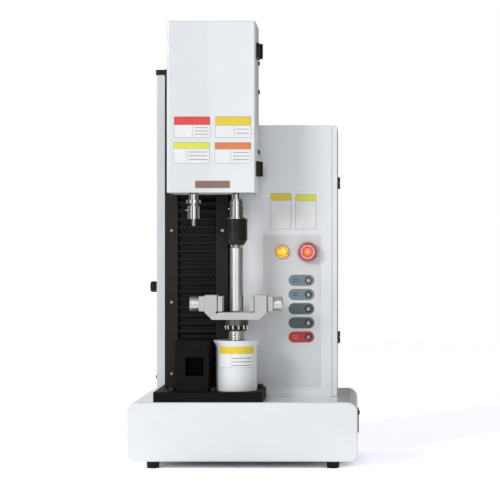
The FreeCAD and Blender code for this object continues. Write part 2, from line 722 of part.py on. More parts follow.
def module_strips():
    """Two black cover strips on the module's front, counterbored for their screws."""
    y = (MODULE_FRONT, MODULE_FRONT + STRIP_THICKNESS)
    solids = []
    for edge, inward in ((MODULE_X[0], 1), (MODULE_X[1], -1)):
        x = sorted((edge, edge + inward * STRIP_WIDTH))
        counterbores = []
        for place in strip_screw_rows(edge + inward * STRIP_SCREW_INSET):
            start = place - BACK * OVERRUN
            counterbores.append(rod(COUNTERBORE_RADIUS, start, BACK, COUNTERBORE_DEPTH + OVERRUN))
        solids.append(block(x, y, (PLATE_TOP, MODULE_TOP)).cut(counterbores))
    return group(*solids)


def rail_outline(x, gap):
    """Section of a guide rail with its waist, grown by a gap on every side."""
    half = RAIL_WIDTH / 2 + gap
    waist = half - RAIL_WAIST
    front = RAIL_SEAT - RAIL_HEIGHT - gap
    step = RAIL_HEIGHT / 4
    return [
        (x - half, RAIL_SEAT),
        (x - half, RAIL_SEAT - step),
        (x - waist, RAIL_SEAT - 2 * step),
        (x - half, RAIL_SEAT - 3 * step),
        (x - half, front),
        (x + half, front),
        (x + half, RAIL_SEAT - 3 * step),
        (x + waist, RAIL_SEAT - 2 * step),
        (x + half, RAIL_SEAT - step),
        (x + half, RAIL_SEAT),
    ]


def guide_rails():
    """Two waisted rails between the module's end blocks."""
    z = (LOWER_END_TOP, UPPER_END_BOTTOM)
    return group(*[prism(rail_outline(LEFT_X + side * RAIL_OFFSET, 0), "z", z) for side in (-1, 1)])


def guide_blocks():
    """Four guide blocks that ride on the rails behind the carriage."""
    solids = []
    for side in (-1, 1):
        x = LEFT_X + side * RAIL_OFFSET
        channel = prism(rail_outline(x, SLIDE_FIT), "z", (CARRIAGE_BOTTOM, CARRIAGE_TOP))
        for bottom in (CARRIAGE_BOTTOM, CARRIAGE_TOP - GUIDE_LENGTH):
            y = (CARRIAGE_BACK, CARRIAGE_BACK + GUIDE_HEIGHT)
            solid = block(around(x, GUIDE_WIDTH), y, (bottom, bottom + GUIDE_LENGTH))
            solids.append(solid.cut(channel))
    return group(*solids)


def carriage():
    """Carriage plate with the ball nut's housing behind it."""
    plate = block(
        around(LEFT_X, CARRIAGE_WIDTH),
        (CARRIAGE_FRONT, CARRIAGE_BACK),
        (CARRIAGE_BOTTOM, CARRIAGE_TOP),
    )
    nut = block(
        around(LEFT_X, NUT_WIDTH),
        (CARRIAGE_BACK, CARRIAGE_BACK + NUT_DEPTH),
        (CARRIAGE_BOTTOM, CARRIAGE_TOP),
    )
    bore = rod(
        SCREW_RADIUS + RUN_FIT,
        point(LEFT_X, SCREW_Y, CARRIAGE_BOTTOM - OVERRUN),
        UP,
        CARRIAGE_HEIGHT + 2 * OVERRUN,
    )
    return joined(plate, nut).cut(bore)


def lift_screw():
    """Ball screw with its shaft coupling at the foot."""
    bottom = BASE_TOP - SHEET + MOTOR_PILOT_HEIGHT + SCREW_END_PLAY
    top = MODULE_TOP - 2 * SCREW_END_PLAY
    profile = [
        (0, 0),
        (COUPLING_RADIUS, 0),
        (COUPLING_RADIUS, COUPLING_LENGTH),
        (SCREW_RADIUS, COUPLING_LENGTH),
        (SCREW_RADIUS, top - bottom),
        (0, top - bottom),
    ]
    return turned(profile, point(LEFT_X, SCREW_Y, bottom))


def lift_motor():
    """Square lift motor that hangs under the top of the base, with its pilot in the shaft hole."""
    top = BASE_TOP - SHEET
    body = block(around(LEFT_X, MOTOR_SIZE), around(SCREW_Y, MOTOR_SIZE), (top - MOTOR_LENGTH, top))
    body = bevelled(body, MOTOR_CORNER, UP)
    pilot_start = point(LEFT_X, SCREW_Y, top - OVERRUN)
    pilot = rod(MOTOR_PILOT_RADIUS, pilot_start, UP, MOTOR_PILOT_HEIGHT + OVERRUN)
    return joined(body, pilot)


def bellows(z):
    """Folded cover between two heights, in whole folds."""
    folds = max(1, round((z[1] - z[0]) / BELLOWS_PITCH))
    step = (z[1] - z[0]) / folds / 2
    front = MODULE_FRONT + SEAM
    back = front + BELLOWS_DEPTH
    outside = []
    for corner in range(2 * folds + 1):
        y = front if corner % 2 else back - BELLOWS_CLOTH
        outside.append((y, z[0] + corner * step))
    inside = [(y + BELLOWS_CLOTH, height) for y, height in reversed(outside)]
    return prism(outside + inside, "x", around(LEFT_X, NECK_WIDTH))


def bellows_lower():
    """Bellows from the lower end block up to the crosshead's neck."""
    return bellows((LOWER_END_TOP, CARRIAGE_BOTTOM))


def bellows_upper():
    """Bellows from the crosshead's neck up to the upper end block."""
    return bellows((CARRIAGE_TOP, UPPER_END_BOTTOM))


def column():
    """Hollow column behind the module, standing on the machine plate."""
    y = (MODULE_BACK, COLUMN_BACK)
    outer = block(around(LEFT_X, COLUMN_WIDTH), y, (PLATE_TOP, COLUMN_TOP))
    hollow = block(
        around(LEFT_X, COLUMN_WIDTH - 2 * COLUMN_WALL),
        (y[0] + COLUMN_WALL, y[1] - COLUMN_WALL),
        (PLATE_TOP - OVERRUN, COLUMN_TOP - COLUMN_WALL),
    )
    return outer.cut(hollow)


def rear_x(overhang):
    """Width of the rear cover, or of its cap with an overhang."""
    return (MODULE_X[0] - REAR_LEFT_MARGIN - overhang, MODULE_X[1] + REAR_RIGHT_MARGIN + overhang)


def rear_cover():
    """Shallow white cable cover behind the column, closed by its cap."""
    y = (COLUMN_BACK, COLUMN_BACK + REAR_DEPTH)
    x = rear_x(0)
    outer = rounded(block(x, y, (BASE_TOP, REAR_TOP)), SHEET, UP)
    hollow = block(
        (x[0] + SHEET, x[1] - SHEET),
        (y[0] + SHEET, y[1] - SHEET),
        (BASE_TOP - OVERRUN, REAR_TOP + OVERRUN),
    )
    return outer.cut(hollow)


def column_cap():
    """Black cap on the rear cover."""
    y = (COLUMN_BACK - CAP_OVERHANG, COLUMN_BACK + REAR_DEPTH + CAP_OVERHANG)
    return rounded(block(rear_x(CAP_OVERHANG), y, (REAR_TOP, REAR_TOP + CAP_THICKNESS)), CAP_OVERHANG, UP)


def cable_gland():
    """Black plug with a collar and a rounded end on the left side of the rear cover."""
    start = point(rear_x(0)[0], COLUMN_BACK + REAR_DEPTH / 2, GLAND_HEIGHT)
    thin = GLAND_RADIUS - GLAND_RIB
    profile = [
        (0, 0),
        (GLAND_RADIUS, 0),
        (GLAND_RADIUS, GLAND_COLLAR),
        (thin, GLAND_COLLAR),
        (thin, GLAND_COLLAR + GLAND_RIB),
        (GLAND_RADIUS, GLAND_COLLAR + GLAND_RIB),
        (GLAND_RADIUS, GLAND_LENGTH),
        (0, GLAND_LENGTH),
    ]
    groove_x = start.x - GLAND_COLLAR - 2 * GLAND_RIB
    plug = turned(profile, start, -RIGHT)
    return rounded_rims(plug, GLAND_ROUNDING, lambda middle: middle.x < groove_x)


def sensor_housing():
    """White turned housing with a flared rim and a lid that the stem passes through."""
    inner = HOUSING_RADIUS - HOUSING_WALL
    hole = STEM_RADIUS + STEM_HOLE_GAP
    lid = HOUSING_HEIGHT - HOUSING_WALL
    profile = [
        (inner, 0),
        (HOUSING_RADIUS, 0),
        (HOUSING_RADIUS, HOUSING_HEIGHT - RIM_TAPER),
        (RIM_RADIUS, HOUSING_HEIGHT - RIM_LIP),
        (RIM_RADIUS, HOUSING_HEIGHT),
        (hole, HOUSING_HEIGHT),
        (hole, lid),
        (inner, lid),
    ]
    return turned(profile, station(RIGHT_X, PLATE_TOP))


def torque_sensor():
    """Torque sensor on the machine plate, inside its housing."""
    profile = [
        (0, 0),
        (SENSOR_FLANGE_RADIUS, 0),
        (SENSOR_FLANGE_RADIUS, SENSOR_FLANGE_HEIGHT),
        (SENSOR_RADIUS, SENSOR_FLANGE_HEIGHT),
        (SENSOR_RADIUS, SENSOR_HEIGHT),
        (0, SENSOR_HEIGHT),
    ]
    return turned(profile, station(RIGHT_X, PLATE_TOP))


def vise_stem():
    """Chrome stem from the sensor up to the stepped flange under the vise."""
    start = PLATE_TOP + SENSOR_HEIGHT
    profile = [
        (0, 0),
        (STEM_RADIUS, 0),
        (STEM_RADIUS, STEM_STEP_BOTTOM - start),
        (STEM_STEP_RADIUS, STEM_STEP_BOTTOM - start),
        (STEM_STEP_RADIUS, STEM_FLANGE_BOTTOM - start),
        (STEM_FLANGE_RADIUS, STEM_FLANGE_BOTTOM - start),
        (STEM_FLANGE_RADIUS, VISE_BOTTOM - start),
        (0, VISE_BOTTOM - start),
    ]
    return turned(profile, station(RIGHT_X, start))


def vise_body():
    """U-shaped aluminium vise body with bores for the jaws' tubes, pins and screws."""
    outline = [
        (RIGHT_X - ARM_OUTER, VISE_TOP),
        (RIGHT_X - ARM_OUTER, VISE_BOTTOM + VISE_CHAMFER),
        (RIGHT_X - ARM_OUTER + VISE_CHAMFER, VISE_BOTTOM),
        (RIGHT_X + ARM_OUTER - VISE_CHAMFER, VISE_BOTTOM),
        (RIGHT_X + ARM_OUTER, VISE_BOTTOM + VISE_CHAMFER),
        (RIGHT_X + ARM_OUTER, VISE_TOP),
        (RIGHT_X + ARM_INNER, VISE_TOP),
        (RIGHT_X + ARM_INNER, VISE_FLOOR_TOP),
        (RIGHT_X - ARM_INNER, VISE_FLOOR_TOP),
        (RIGHT_X - ARM_INNER, VISE_TOP),
    ]
    y = around(STATION_Y, VISE_DEPTH)
    solid = prism(outline, "y", y)
    relief_start = point(RIGHT_X - ARM_INNER, y[0] - OVERRUN, VISE_FLOOR_TOP)
    cuts = [rod(RELIEF_RADIUS, relief_start, BACK, VISE_DEPTH + 2 * OVERRUN)]
    for side in (-1, 1):
        outward = RIGHT * side
        face = RIGHT_X + side * (ARM_INNER - OVERRUN)
        mouth = point(face, STATION_Y, JAW_MIDDLE)
        depth = TUBE_LENGTH + 2
        cuts.append(rod(KNOB_SHAFT_RADIUS + RUN_FIT, mouth, outward, VISE_WIDTH))
        cuts.append(rod(TUBE_RADIUS + RUN_FIT, mouth, outward, depth))
        for pin in (-1, 1):
            pin_y = STATION_Y + pin * GUIDE_PIN_SPACING / 2
            cuts.append(rod(GUIDE_PIN_RADIUS + RUN_FIT, point(face, pin_y, JAW_MIDDLE), outward, depth))
    return solid.cut(cuts)


def screw_blocks():
    """Two bearing blocks outside the vise arms, in which the knobs' shafts turn."""
    solids = []
    for side in (-1, 1):
        x = sorted((RIGHT_X + side * ARM_OUTER, RIGHT_X + side * (ARM_OUTER + SCREW_BLOCK_WIDTH)))
        y = around(STATION_Y, SCREW_BLOCK_DEPTH)
        solid = block(x, y, around(JAW_MIDDLE, SCREW_BLOCK_HEIGHT))
        start = point(x[0] - OVERRUN, STATION_Y, JAW_MIDDLE)
        bore = rod(KNOB_SHAFT_RADIUS + RUN_FIT, start, RIGHT, SCREW_BLOCK_WIDTH + 2 * OVERRUN)
        solids.append(solid.cut(bore))
    return group(*solids)


def vise_jaw(side):
    """Jaw plate with the nut tube and two guide pins that slide in the arm."""
    back = RIGHT_X + side * (ARM_INNER - JAW_BACK_GAP)
    x = sorted((back, back - side * JAW_THICKNESS))
    plate = block(x, around(STATION_Y, JAW_DEPTH), around(JAW_MIDDLE, JAW_HEIGHT))
    outward = RIGHT * side
    pieces = [rod(TUBE_RADIUS, point(back, STATION_Y, JAW_MIDDLE), outward, TUBE_LENGTH)]
    for pin in (-1, 1):
        pin_y = STATION_Y + pin * GUIDE_PIN_SPACING / 2
        pieces.append(rod(GUIDE_PIN_RADIUS, point(back, pin_y, JAW_MIDDLE), outward, TUBE_LENGTH))
    bore_start = point(back + side * (TUBE_LENGTH + OVERRUN), STATION_Y, JAW_MIDDLE)
    bore_length = TUBE_LENGTH + 1 + 0.75 * JAW_THICKNESS
    bore = rod(KNOB_SHAFT_RADIUS + RUN_FIT, bore_start, -outward, bore_length)
    return joined(plate, *pieces).cut(bore)


def knob(side):
    """Knurled knob with the screw that runs inward through its block and arm."""
    face = RIGHT_X + side * (ARM_OUTER + SCREW_BLOCK_WIDTH + SLIDE_FIT)
    outward = RIGHT * side
    grip = turned(
        [
            (0, 0),
            (KNOB_RADIUS - KNOB_EDGE / 2, 0),
            (KNOB_RADIUS, KNOB_EDGE / 2),
            (KNOB_RADIUS, KNOB_LENGTH - KNOB_EDGE),
            (KNOB_RADIUS - KNOB_EDGE, KNOB_LENGTH),
            (0, KNOB_LENGTH),
        ],
        point(face, STATION_Y, JAW_MIDDLE),
        outward,
    )
    start = point(face + side, STATION_Y, JAW_MIDDLE)
    return joined(grip, rod(KNOB_SHAFT_RADIUS, start, -outward, KNOB_SHAFT_LENGTH + OVERRUN))


def fixture_block():
    """Black fixture block with a square window and a guide bore on the left station's axis."""
    front = MODULE_FRONT - FIXTURE_DEPTH
    solid = block(
        around(LEFT_X, FIXTURE_WIDTH),
        (front, MODULE_FRONT),
        (PLATE_TOP, PLATE_TOP + FIXTURE_HEIGHT),
    )
    solid = bevelled(solid, FIXTURE_EDGE, UP, lambda middle: middle.y < MODULE_FRONT - 1)
    window_z = (PLATE_TOP + WINDOW_BOTTOM, PLATE_TOP + WINDOW_BOTTOM + WINDOW_SIZE)
    window = block(
        around(LEFT_X + WINDOW_SHIFT, WINDOW_SIZE),
        (front - OVERRUN, front + WINDOW_DEPTH),
        window_z,
    )
    bore = rod(GUIDE_BORE_RADIUS, station(LEFT_X, window_z[0] + OVERRUN), UP, FIXTURE_HEIGHT)
    return solid.cut([window, bore])


def test_rod():
    """Polished rod with the thinner shank that the chuck holds."""
    profile = [
        (0, 0),
        (ROD_RADIUS - ROD_EDGE, 0),
        (ROD_RADIUS, ROD_EDGE),
        (ROD_RADIUS, ROD_LENGTH - ROD_EDGE),
        (ROD_RADIUS - ROD_EDGE, ROD_LENGTH),
        (SHANK_RADIUS, ROD_LENGTH),
        (SHANK_RADIUS, ROD_LENGTH + SHANK_LENGTH),
        (0, ROD_LENGTH + SHANK_LENGTH),
    ]
    return turned(profile, station(RIGHT_X, ROD_BOTTOM))


def jaw_frame(bearing):
    """Tip of a chuck jaw's axis, and the direction that the axis climbs in."""
    turn = math.radians(bearing)
    tilt = math.radians(JAW_TILT)
    outward = point(math.cos(turn), math.sin(turn), 0)
    tip = station(RIGHT_X, ROD_TOP + JAW_TIP_GAP) + outward * (SHANK_RADIUS + JAW_TIP_OFFSET)
    return tip, outward * math.sin(tilt) + UP * math.cos(tilt)


def chuck_jaw(bearing):
    """Round chuck jaw on its inclined axis, with a flat against the shank."""
    tip, climb = jaw_frame(bearing)
    solid = rod(JAW_ROD_RADIUS, tip, climb, JAW_ROD_LENGTH)
    reach = SHANK_RADIUS + RUN_FIT
    width = 4 * JAW_ROD_RADIUS
    flat = Part.makeBox(reach, width, 2 * JAW_ROD_LENGTH, point(0, -width / 2, -JAW_ROD_LENGTH / 2))
    flat.rotate(point(0, 0, 0), UP, bearing)
    flat.translate(station(RIGHT_X, tip.z))
    return solid.cut(flat)


def chuck_body():
    """Chuck body: toothed top ring, core, bearing land and nose, with three inclined jaw bores."""
    top = CHUCK_TOP - NOSE_BOTTOM
    ring = top - CHUCK_RING_HEIGHT
    nose = NOSE_HEIGHT - SLIDE_FIT
    land = SLEEVE_INNER_RADIUS - RUN_FIT
    bore = SHANK_RADIUS + CHUCK_BORE_GAP
    shank_end = ROD_TOP + SHANK_LENGTH + 1 - NOSE_BOTTOM
    profile = [
        (bore, 0),
        (NOSE_RADIUS, 0),
        (CHUCK_RADIUS - CHUCK_BORE_GAP, nose),
        (land, nose),
        (land, nose + LAND_HEIGHT),
        (CORE_RADIUS, nose + LAND_HEIGHT),
        (CORE_RADIUS, ring),
        (CHUCK_RADIUS, ring),
        (CHUCK_RADIUS, top),
        (SHANK_RADIUS + SLIDE_FIT, top),
        (SHANK_RADIUS + SLIDE_FIT, shank_end),
        (bore, shank_end),
    ]
    solid = turned(profile, station(RIGHT_X, NOSE_BOTTOM))
    cuts = []
    for bearing in JAW_BEARINGS:
        tip, climb = jaw_frame(bearing)
        cuts.append(rod(JAW_ROD_RADIUS + RUN_FIT, tip - climb, climb, SLEEVE_LENGTH + NOSE_GAP))
    for tooth in range(CHUCK_TEETH):
        turn = math.radians(tooth * 360 / CHUCK_TEETH)
        x = RIGHT_X + CHUCK_RADIUS * math.cos(turn)
        y = STATION_Y + CHUCK_RADIUS * math.sin(turn)
        foot = point(x, y, CHUCK_TOP - CHUCK_RING_HEIGHT / 2)
        cuts.append(rod(CHUCK_TOOTH_DEPTH, foot, UP, CHUCK_RING_HEIGHT))
    return solid.cut(cuts)


def chuck_sleeve():
    """Turning sleeve round the chuck's core, with fine grip grooves."""
    bore = CORE_RADIUS + RUN_FIT
    flange = SLEEVE_LENGTH - SLEEVE_FLANGE
    grooves = []
    grooved_from = SLEEVE_LENGTH / 2
    while grooved_from + SLEEVE_GROOVE_PITCH < SLEEVE_LENGTH:
        grooves += [
            (CHUCK_RADIUS, grooved_from),
            (CHUCK_RADIUS - SLEEVE_GROOVE, grooved_from + SLEEVE_GROOVE_WIDTH / 3),
            (CHUCK_RADIUS - SLEEVE_GROOVE, grooved_from + 2 * SLEEVE_GROOVE_WIDTH / 3),
            (CHUCK_RADIUS, grooved_from + SLEEVE_GROOVE_WIDTH),
        ]
        grooved_from += SLEEVE_GROOVE_PITCH
    profile = [(SLEEVE_INNER_RADIUS, 0), (CHUCK_RADIUS, 0)] + grooves
    profile += [
        (CHUCK_RADIUS, SLEEVE_LENGTH),
        (bore, SLEEVE_LENGTH),
        (bore, flange),
        (SLEEVE_INNER_RADIUS, flange),
    ]
    return turned(profile, station(RIGHT_X, SLEEVE_BOTTOM))


def right_spindle():
    """Right spindle: arbor, grooved quill with two set screws, neck, coupling and motor shaft."""
    start = CHUCK_TOP - ARBOR_LENGTH
    quill = CHUCK_TOP - start
    groove = quill + QUILL_LENGTH
    collar = groove + QUILL_GROOVE_WIDTH
    shoulder = collar + QUILL_COLLAR
    neck = shoulder + QUILL_SHOULDER
    coupling = BOSS_TOP + SLIDE_FIT - start
    shaft = coupling + SPINDLE_COUPLING_LENGTH
    top = SHELF_TOP - SLIDE_FIT - start
    profile = [
        (0, 0),
        (SHANK_RADIUS, 0),
        (SHANK_RADIUS, quill),
        (QUILL_FOOT_RADIUS, quill),
        (QUILL_FOOT_RADIUS, quill + QUILL_FOOT_HEIGHT),
        (QUILL_RADIUS, quill + QUILL_FOOT_HEIGHT),
        (QUILL_RADIUS, groove),
        (QUILL_RADIUS - QUILL_GROOVE, groove),
        (QUILL_RADIUS - QUILL_GROOVE, collar),
        (QUILL_RADIUS, collar),
        (QUILL_RADIUS, shoulder),
        (QUILL_SHOULDER_RADIUS, shoulder),
        (QUILL_SHOULDER_RADIUS, neck),
        (RIGHT_NECK_RADIUS, neck),
        (RIGHT_NECK_RADIUS, coupling),
        (SPINDLE_COUPLING_RADIUS, coupling),
        (SPINDLE_COUPLING_RADIUS, shaft),
        (MOTOR_SHAFT_RADIUS, shaft),
        (MOTOR_SHAFT_RADIUS, top),
        (0, top),
    ]
    solid = turned(profile, station(RIGHT_X, start))
    screws = []
    for side in (-1, 1):
        inside = point(RIGHT_X + side * QUILL_RADIUS / 2, STATION_Y, CHUCK_TOP + SET_SCREW_HEIGHT)
        screws.append(rod(SET_SCREW_RADIUS, inside, RIGHT * side, QUILL_RADIUS / 2 + SET_SCREW_PROUD))
    return joined(solid, *screws)


def left_spindle():
    """Left spindle: bit, holder with its clamp screw, flange, neck, coupling and motor shaft."""
    holder = BIT_LENGTH
    waist = holder + HOLDER_LENGTH
    flange = waist + LEFT_WAIST_HEIGHT
    neck = flange + LEFT_FLANGE_HEIGHT
    start = HOOD_BOTTOM - LEFT_NECK_SHOWING - neck
    coupling = BOSS_TOP + SLIDE_FIT - start
    shaft = coupling + SPINDLE_COUPLING_LENGTH
    top = SHELF_TOP - SLIDE_FIT - start
    profile = [
        (0, 0),
        (BIT_RADIUS, 0),
        (BIT_RADIUS, holder),
        (HOLDER_RADIUS, holder),
        (HOLDER_RADIUS, waist),
        (LEFT_WAIST_RADIUS, waist),
        (LEFT_WAIST_RADIUS, flange),
        (LEFT_FLANGE_RADIUS, flange),
        (LEFT_FLANGE_RADIUS, neck),
        (LEFT_NECK_RADIUS, neck),
        (LEFT_NECK_RADIUS, coupling),
        (SPINDLE_COUPLING_RADIUS, coupling),
        (SPINDLE_COUPLING_RADIUS, shaft),
        (MOTOR_SHAFT_RADIUS, shaft),
        (MOTOR_SHAFT_RADIUS, top),
        (0, top),
    ]
    clamp_start = point(LEFT_X - HOLDER_RADIUS / 2, STATION_Y, start + holder + CLAMP_SCREW_HEIGHT)
    clamp = rod(CLAMP_SCREW_RADIUS, clamp_start, -RIGHT, HOLDER_RADIUS / 2 + CLAMP_SCREW_PROUD)
    return joined(turned(profile, station(LEFT_X, start)), clamp)


def hood_half(y, open_side):
    """Folded half of the hood between two depths, open at the bottom and on the seam side."""
    z = (HOOD_BOTTOM, HOOD_TOP)
    outer = block(HOOD_X, y, z)
    closed_y = y[0] if open_side > 0 else y[1]
    outer = rounded(outer, HOOD_EDGE, UP, lambda middle: abs(middle.y - closed_y) < 0.1)
    outer = rounded(
        outer,
        HOOD_EDGE / 2,
        RIGHT,
        lambda middle: abs(middle.y - closed_y) < 0.1 and middle.z > HOOD_TOP - 1,
    )
    hollow_y = (y[0] + SHEET, y[1] + OVERRUN) if open_side > 0 else (y[0] - OVERRUN, y[1] - SHEET)
    hollow_x = (HOOD_X[0] + SHEET, HOOD_X[1] - SHEET)
    hollow = block(hollow_x, hollow_y, (HOOD_BOTTOM - OVERRUN, HOOD_TOP - SHEET))
    return outer.cut(hollow)


def hood_door():
    """Front half of the hood, which swings open on the right."""
    return hood_half((HOOD_FRONT, DOOR_REAR), 1)


def hood_shell():
    """Rear half of the hood, with the window that the crosshead's neck passes through."""
    neck = block(
        around(LEFT_X, NECK_WIDTH),
        (HOOD_REAR - 2 * SHEET, HOOD_REAR + OVERRUN),
        (CARRIAGE_BOTTOM, CARRIAGE_TOP),
    )
    return hood_half((DOOR_REAR + SEAM, HOOD_REAR), -1).cut(neck)


def hood_hinge_heights():
    """Middles of the two hood hinges."""
    return (HOOD_BOTTOM + HOOD_HINGE_BOTTOM_RAISE, HOOD_TOP - HOOD_HINGE_TOP_DROP)


def hood_hinge_leaf(middle, side):
    """Leaf and knuckle of a block hinge: side -1 is the door's upper half, 1 the frame's lower half."""
    z = around(middle, HOOD_HINGE_HEIGHT)
    knuckle_z = (middle + SLIDE_FIT / 2, z[1]) if side < 0 else (z[0], middle - SLIDE_FIT / 2)
    near = HINGE_AXIS_Y + side * (HOOD_HINGE_RADIUS + SLIDE_FIT)
    far = HINGE_AXIS_Y + side * (HOOD_HINGE_RADIUS + HOOD_HINGE_LEAF)
    x = (HOOD_X[1], HOOD_X[1] + HOOD_HINGE_THICKNESS)
    leaf = block(x, sorted((near, far)), z)
    start = point(HINGE_AXIS_X, HINGE_AXIS_Y, knuckle_z[0])
    barrel = rod(HOOD_HINGE_RADIUS, start, UP, knuckle_z[1] - knuckle_z[0])
    seam_edge = HINGE_AXIS_Y + side * SEAM / 2
    bridge = block(x, sorted((seam_edge, near)), knuckle_z)
    return joined(leaf, barrel, bridge), z


def hood_hinge_frames():
    """Frame halves of the two hood hinges, each with its pin."""
    solids = []
    for middle in hood_hinge_heights():
        leaf, z = hood_hinge_leaf(middle, 1)
        pin = rod(HOOD_HINGE_PIN, point(HINGE_AXIS_X, HINGE_AXIS_Y, z[0]), UP, HOOD_HINGE_HEIGHT)
        solids.append(joined(leaf, pin))
    return group(*solids)


def hood_hinge_leaves():
    """Door halves of the two hood hinges, bored for the pin."""
    solids = []
    for middle in hood_hinge_heights():
        leaf, z = hood_hinge_leaf(middle, -1)
        start = point(HINGE_AXIS_X, HINGE_AXIS_Y, z[0] - OVERRUN)
        solids.append(leaf.cut(rod(HOOD_HINGE_PIN + RUN_FIT, start, UP, HOOD_HINGE_HEIGHT + 2 * OVERRUN)))
    return group(*solids)


def head_bracket():
    """Black crosshead casting: neck, back plate, floor, spindle bosses, ribs and motor shelf."""
    x = (HOOD_X[0] + SHEET + BRACKET_SIDE_GAP, HOOD_X[1] - SHEET - BRACKET_SIDE_GAP)
    plate_y = (BRACKET_FRONT, BRACKET_BACK)
    plate = block(x, plate_y, (FLOOR_BOTTOM, FLOOR_BOTTOM + BRACKET_HEIGHT))
    neck = block(
        around(LEFT_X, NECK_WIDTH),
        (BRACKET_BACK, CARRIAGE_FRONT),
        (CARRIAGE_BOTTOM, CARRIAGE_TOP),
    )
    floor_front = HOOD_FRONT + SHEET + FLOOR_FRONT_GAP
    floor = block(x, (floor_front, BRACKET_FRONT), (FLOOR_BOTTOM, FLOOR_TOP))
    shelf = block(x, (BRACKET_BACK - SHELF_DEPTH, BRACKET_FRONT), (SHELF_BOTTOM, SHELF_TOP))
    pieces = [neck, floor, shelf]
    middle_x = (LEFT_X + RIGHT_X) / 2
    for rib_x in (x[0] + RIB_THICKNESS / 2, middle_x, x[1] - RIB_THICKNESS / 2):
        outline = [
            (BRACKET_FRONT, FLOOR_TOP),
            (BRACKET_FRONT - RIB_DEPTH, FLOOR_TOP),
            (BRACKET_FRONT - RIB_DEPTH, SHELF_BOTTOM),
            (BRACKET_FRONT, SHELF_BOTTOM),
        ]
        pieces.append(prism(outline, "x", around(rib_x, RIB_THICKNESS)))
    cuts = []
    for station_x, radius in ((LEFT_X, LEFT_NECK_RADIUS), (RIGHT_X, RIGHT_NECK_RADIUS)):
        pieces.append(rod(BOSS_RADIUS, station(station_x, FLOOR_TOP), UP, BOSS_HEIGHT))
        bore_start = station(station_x, FLOOR_BOTTOM - OVERRUN)
        cuts.append(rod(radius + RUN_FIT, bore_start, UP, FLOOR_THICKNESS + BOSS_HEIGHT + 2 * OVERRUN))
        hole_start = station(station_x, SHELF_BOTTOM - OVERRUN)
        cuts.append(rod(SHELF_HOLE_RADIUS, hole_start, UP, SHELF_THICKNESS + 2 * OVERRUN))
    swing_radius = HINGE_AXIS_X - HOOD_X[0] - SHEET - SWING_GAP
    height = (FLOOR_BOTTOM - OVERRUN, HOOD_TOP)
    in_door = block((HOOD_X[0], LEFT_X), (HOOD_FRONT, HINGE_AXIS_Y), height)
    swept = rod(swing_radius, point(HINGE_AXIS_X, HINGE_AXIS_Y, height[0]), UP, height[1] - height[0])
    cuts.append(in_door.cut(swept))
    return joined(plate, *pieces).cut(cuts)


def spindle_motors():
    """Two geared motors on the shelf, each with an encoder on top."""
    solids = []
    for x in (LEFT_X, RIGHT_X):
        motor_bottom = SHELF_TOP + GEARBOX_HEIGHT
        motor_top = motor_bottom + HEAD_MOTOR_LENGTH
        motor = block(around(x, MOTOR_SIZE), around(STATION_Y, MOTOR_SIZE), (motor_bottom, motor_top))
        motor = bevelled(motor, MOTOR_CORNER, UP)
        gearbox = rod(GEARBOX_RADIUS, station(x, SHELF_TOP), UP, GEARBOX_HEIGHT)
        encoder = rod(ENCODER_RADIUS, station(x, motor_top), UP, ENCODER_HEIGHT)
        solids.append(joined(motor, gearbox, encoder))
    return group(*solids)


def switch_holes(y):
    """Holes for the necks of all the switches, over a range of depths."""
    large = [(START_CENTRE, START_NECK_RADIUS), (ESTOP_CENTRE, ESTOP_NECK_RADIUS)]
    small = [(centre, BEZEL_NECK_RADIUS) for centre in SMALL_CENTRES]
    holes = []
    for (x, z), radius in large + small:
        holes.append(rod(radius + SWITCH_HOLE_GAP, point(x, y[0], z), BACK, y[1] - y[0]))
    return holes


def cabinet_shell():
    """White control cabinet, open on its right side inside a folded return."""
    x = (CABINET_X[0], CABINET_SIDE)
    y = (CABINET_FRONT, CABINET_BACK)
    outer = block(x, y, (BASE_TOP, CABINET_TOP))
    outer = rounded(
        outer,
        CABINET_EDGE,
        BACK,
        lambda middle: middle.z > CABINET_TOP - 1 and middle.x < x[0] + 1,
    )
    hollow = block(
        (x[0] + SHEET, x[1] - SHEET),
        (y[0] + SHEET, y[1] - SHEET),
        (BASE_TOP + SHEET, CABINET_TOP - SHEET),
    )
    side = block(
        (x[1] - 2 * SHEET, x[1] + OVERRUN),
        (y[0] + SIDE_RETURN, y[1] - SIDE_RETURN),
        (BASE_TOP + SIDE_RETURN, CABINET_TOP - SIDE_RETURN),
    )
    return outer.cut([hollow, side] + switch_holes((CABINET_FRONT - OVERRUN, CABINET_FRONT + 2 * SHEET)))


def cabinet_door():
    """White pan door that closes the right side of the cabinet."""
    x = (CABINET_X[1] - SIDE_DOOR_DEPTH, CABINET_X[1])
    y = (CABINET_FRONT, CABINET_BACK)
    z = (BASE_TOP + SEAM, CABINET_TOP)
    outer = block(x, y, z)
    outer = rounded(
        outer,
        CABINET_EDGE,
        BACK,
        lambda middle: middle.z > CABINET_TOP - 1 and middle.x > x[1] - 1,
    )
    hollow = block(
        (x[0] - OVERRUN, x[1] - SHEET),
        (y[0] + SHEET, y[1] - SHEET),
        (z[0] + SHEET, z[1] - SHEET),
    )
    return outer.cut(hollow)


def door_knuckle(span):
    """Barrel of a side door hinge between two heights, with rounded rims."""
    start = point(DOOR_AXIS_X, DOOR_AXIS_Y, span[0])
    barrel = rod(DOOR_HINGE_RADIUS, start, UP, span[1] - span[0])
    return rounded_rims(barrel, DOOR_HINGE_ROUNDING, lambda middle: True)


def door_hinge_spans():
    """Heights of the two side door hinges."""
    low = BASE_TOP + DOOR_HINGE_INSET
    high = CABINET_TOP - DOOR_HINGE_INSET
    return (around(low, DOOR_HINGE_HEIGHT), around(high, DOOR_HINGE_HEIGHT))


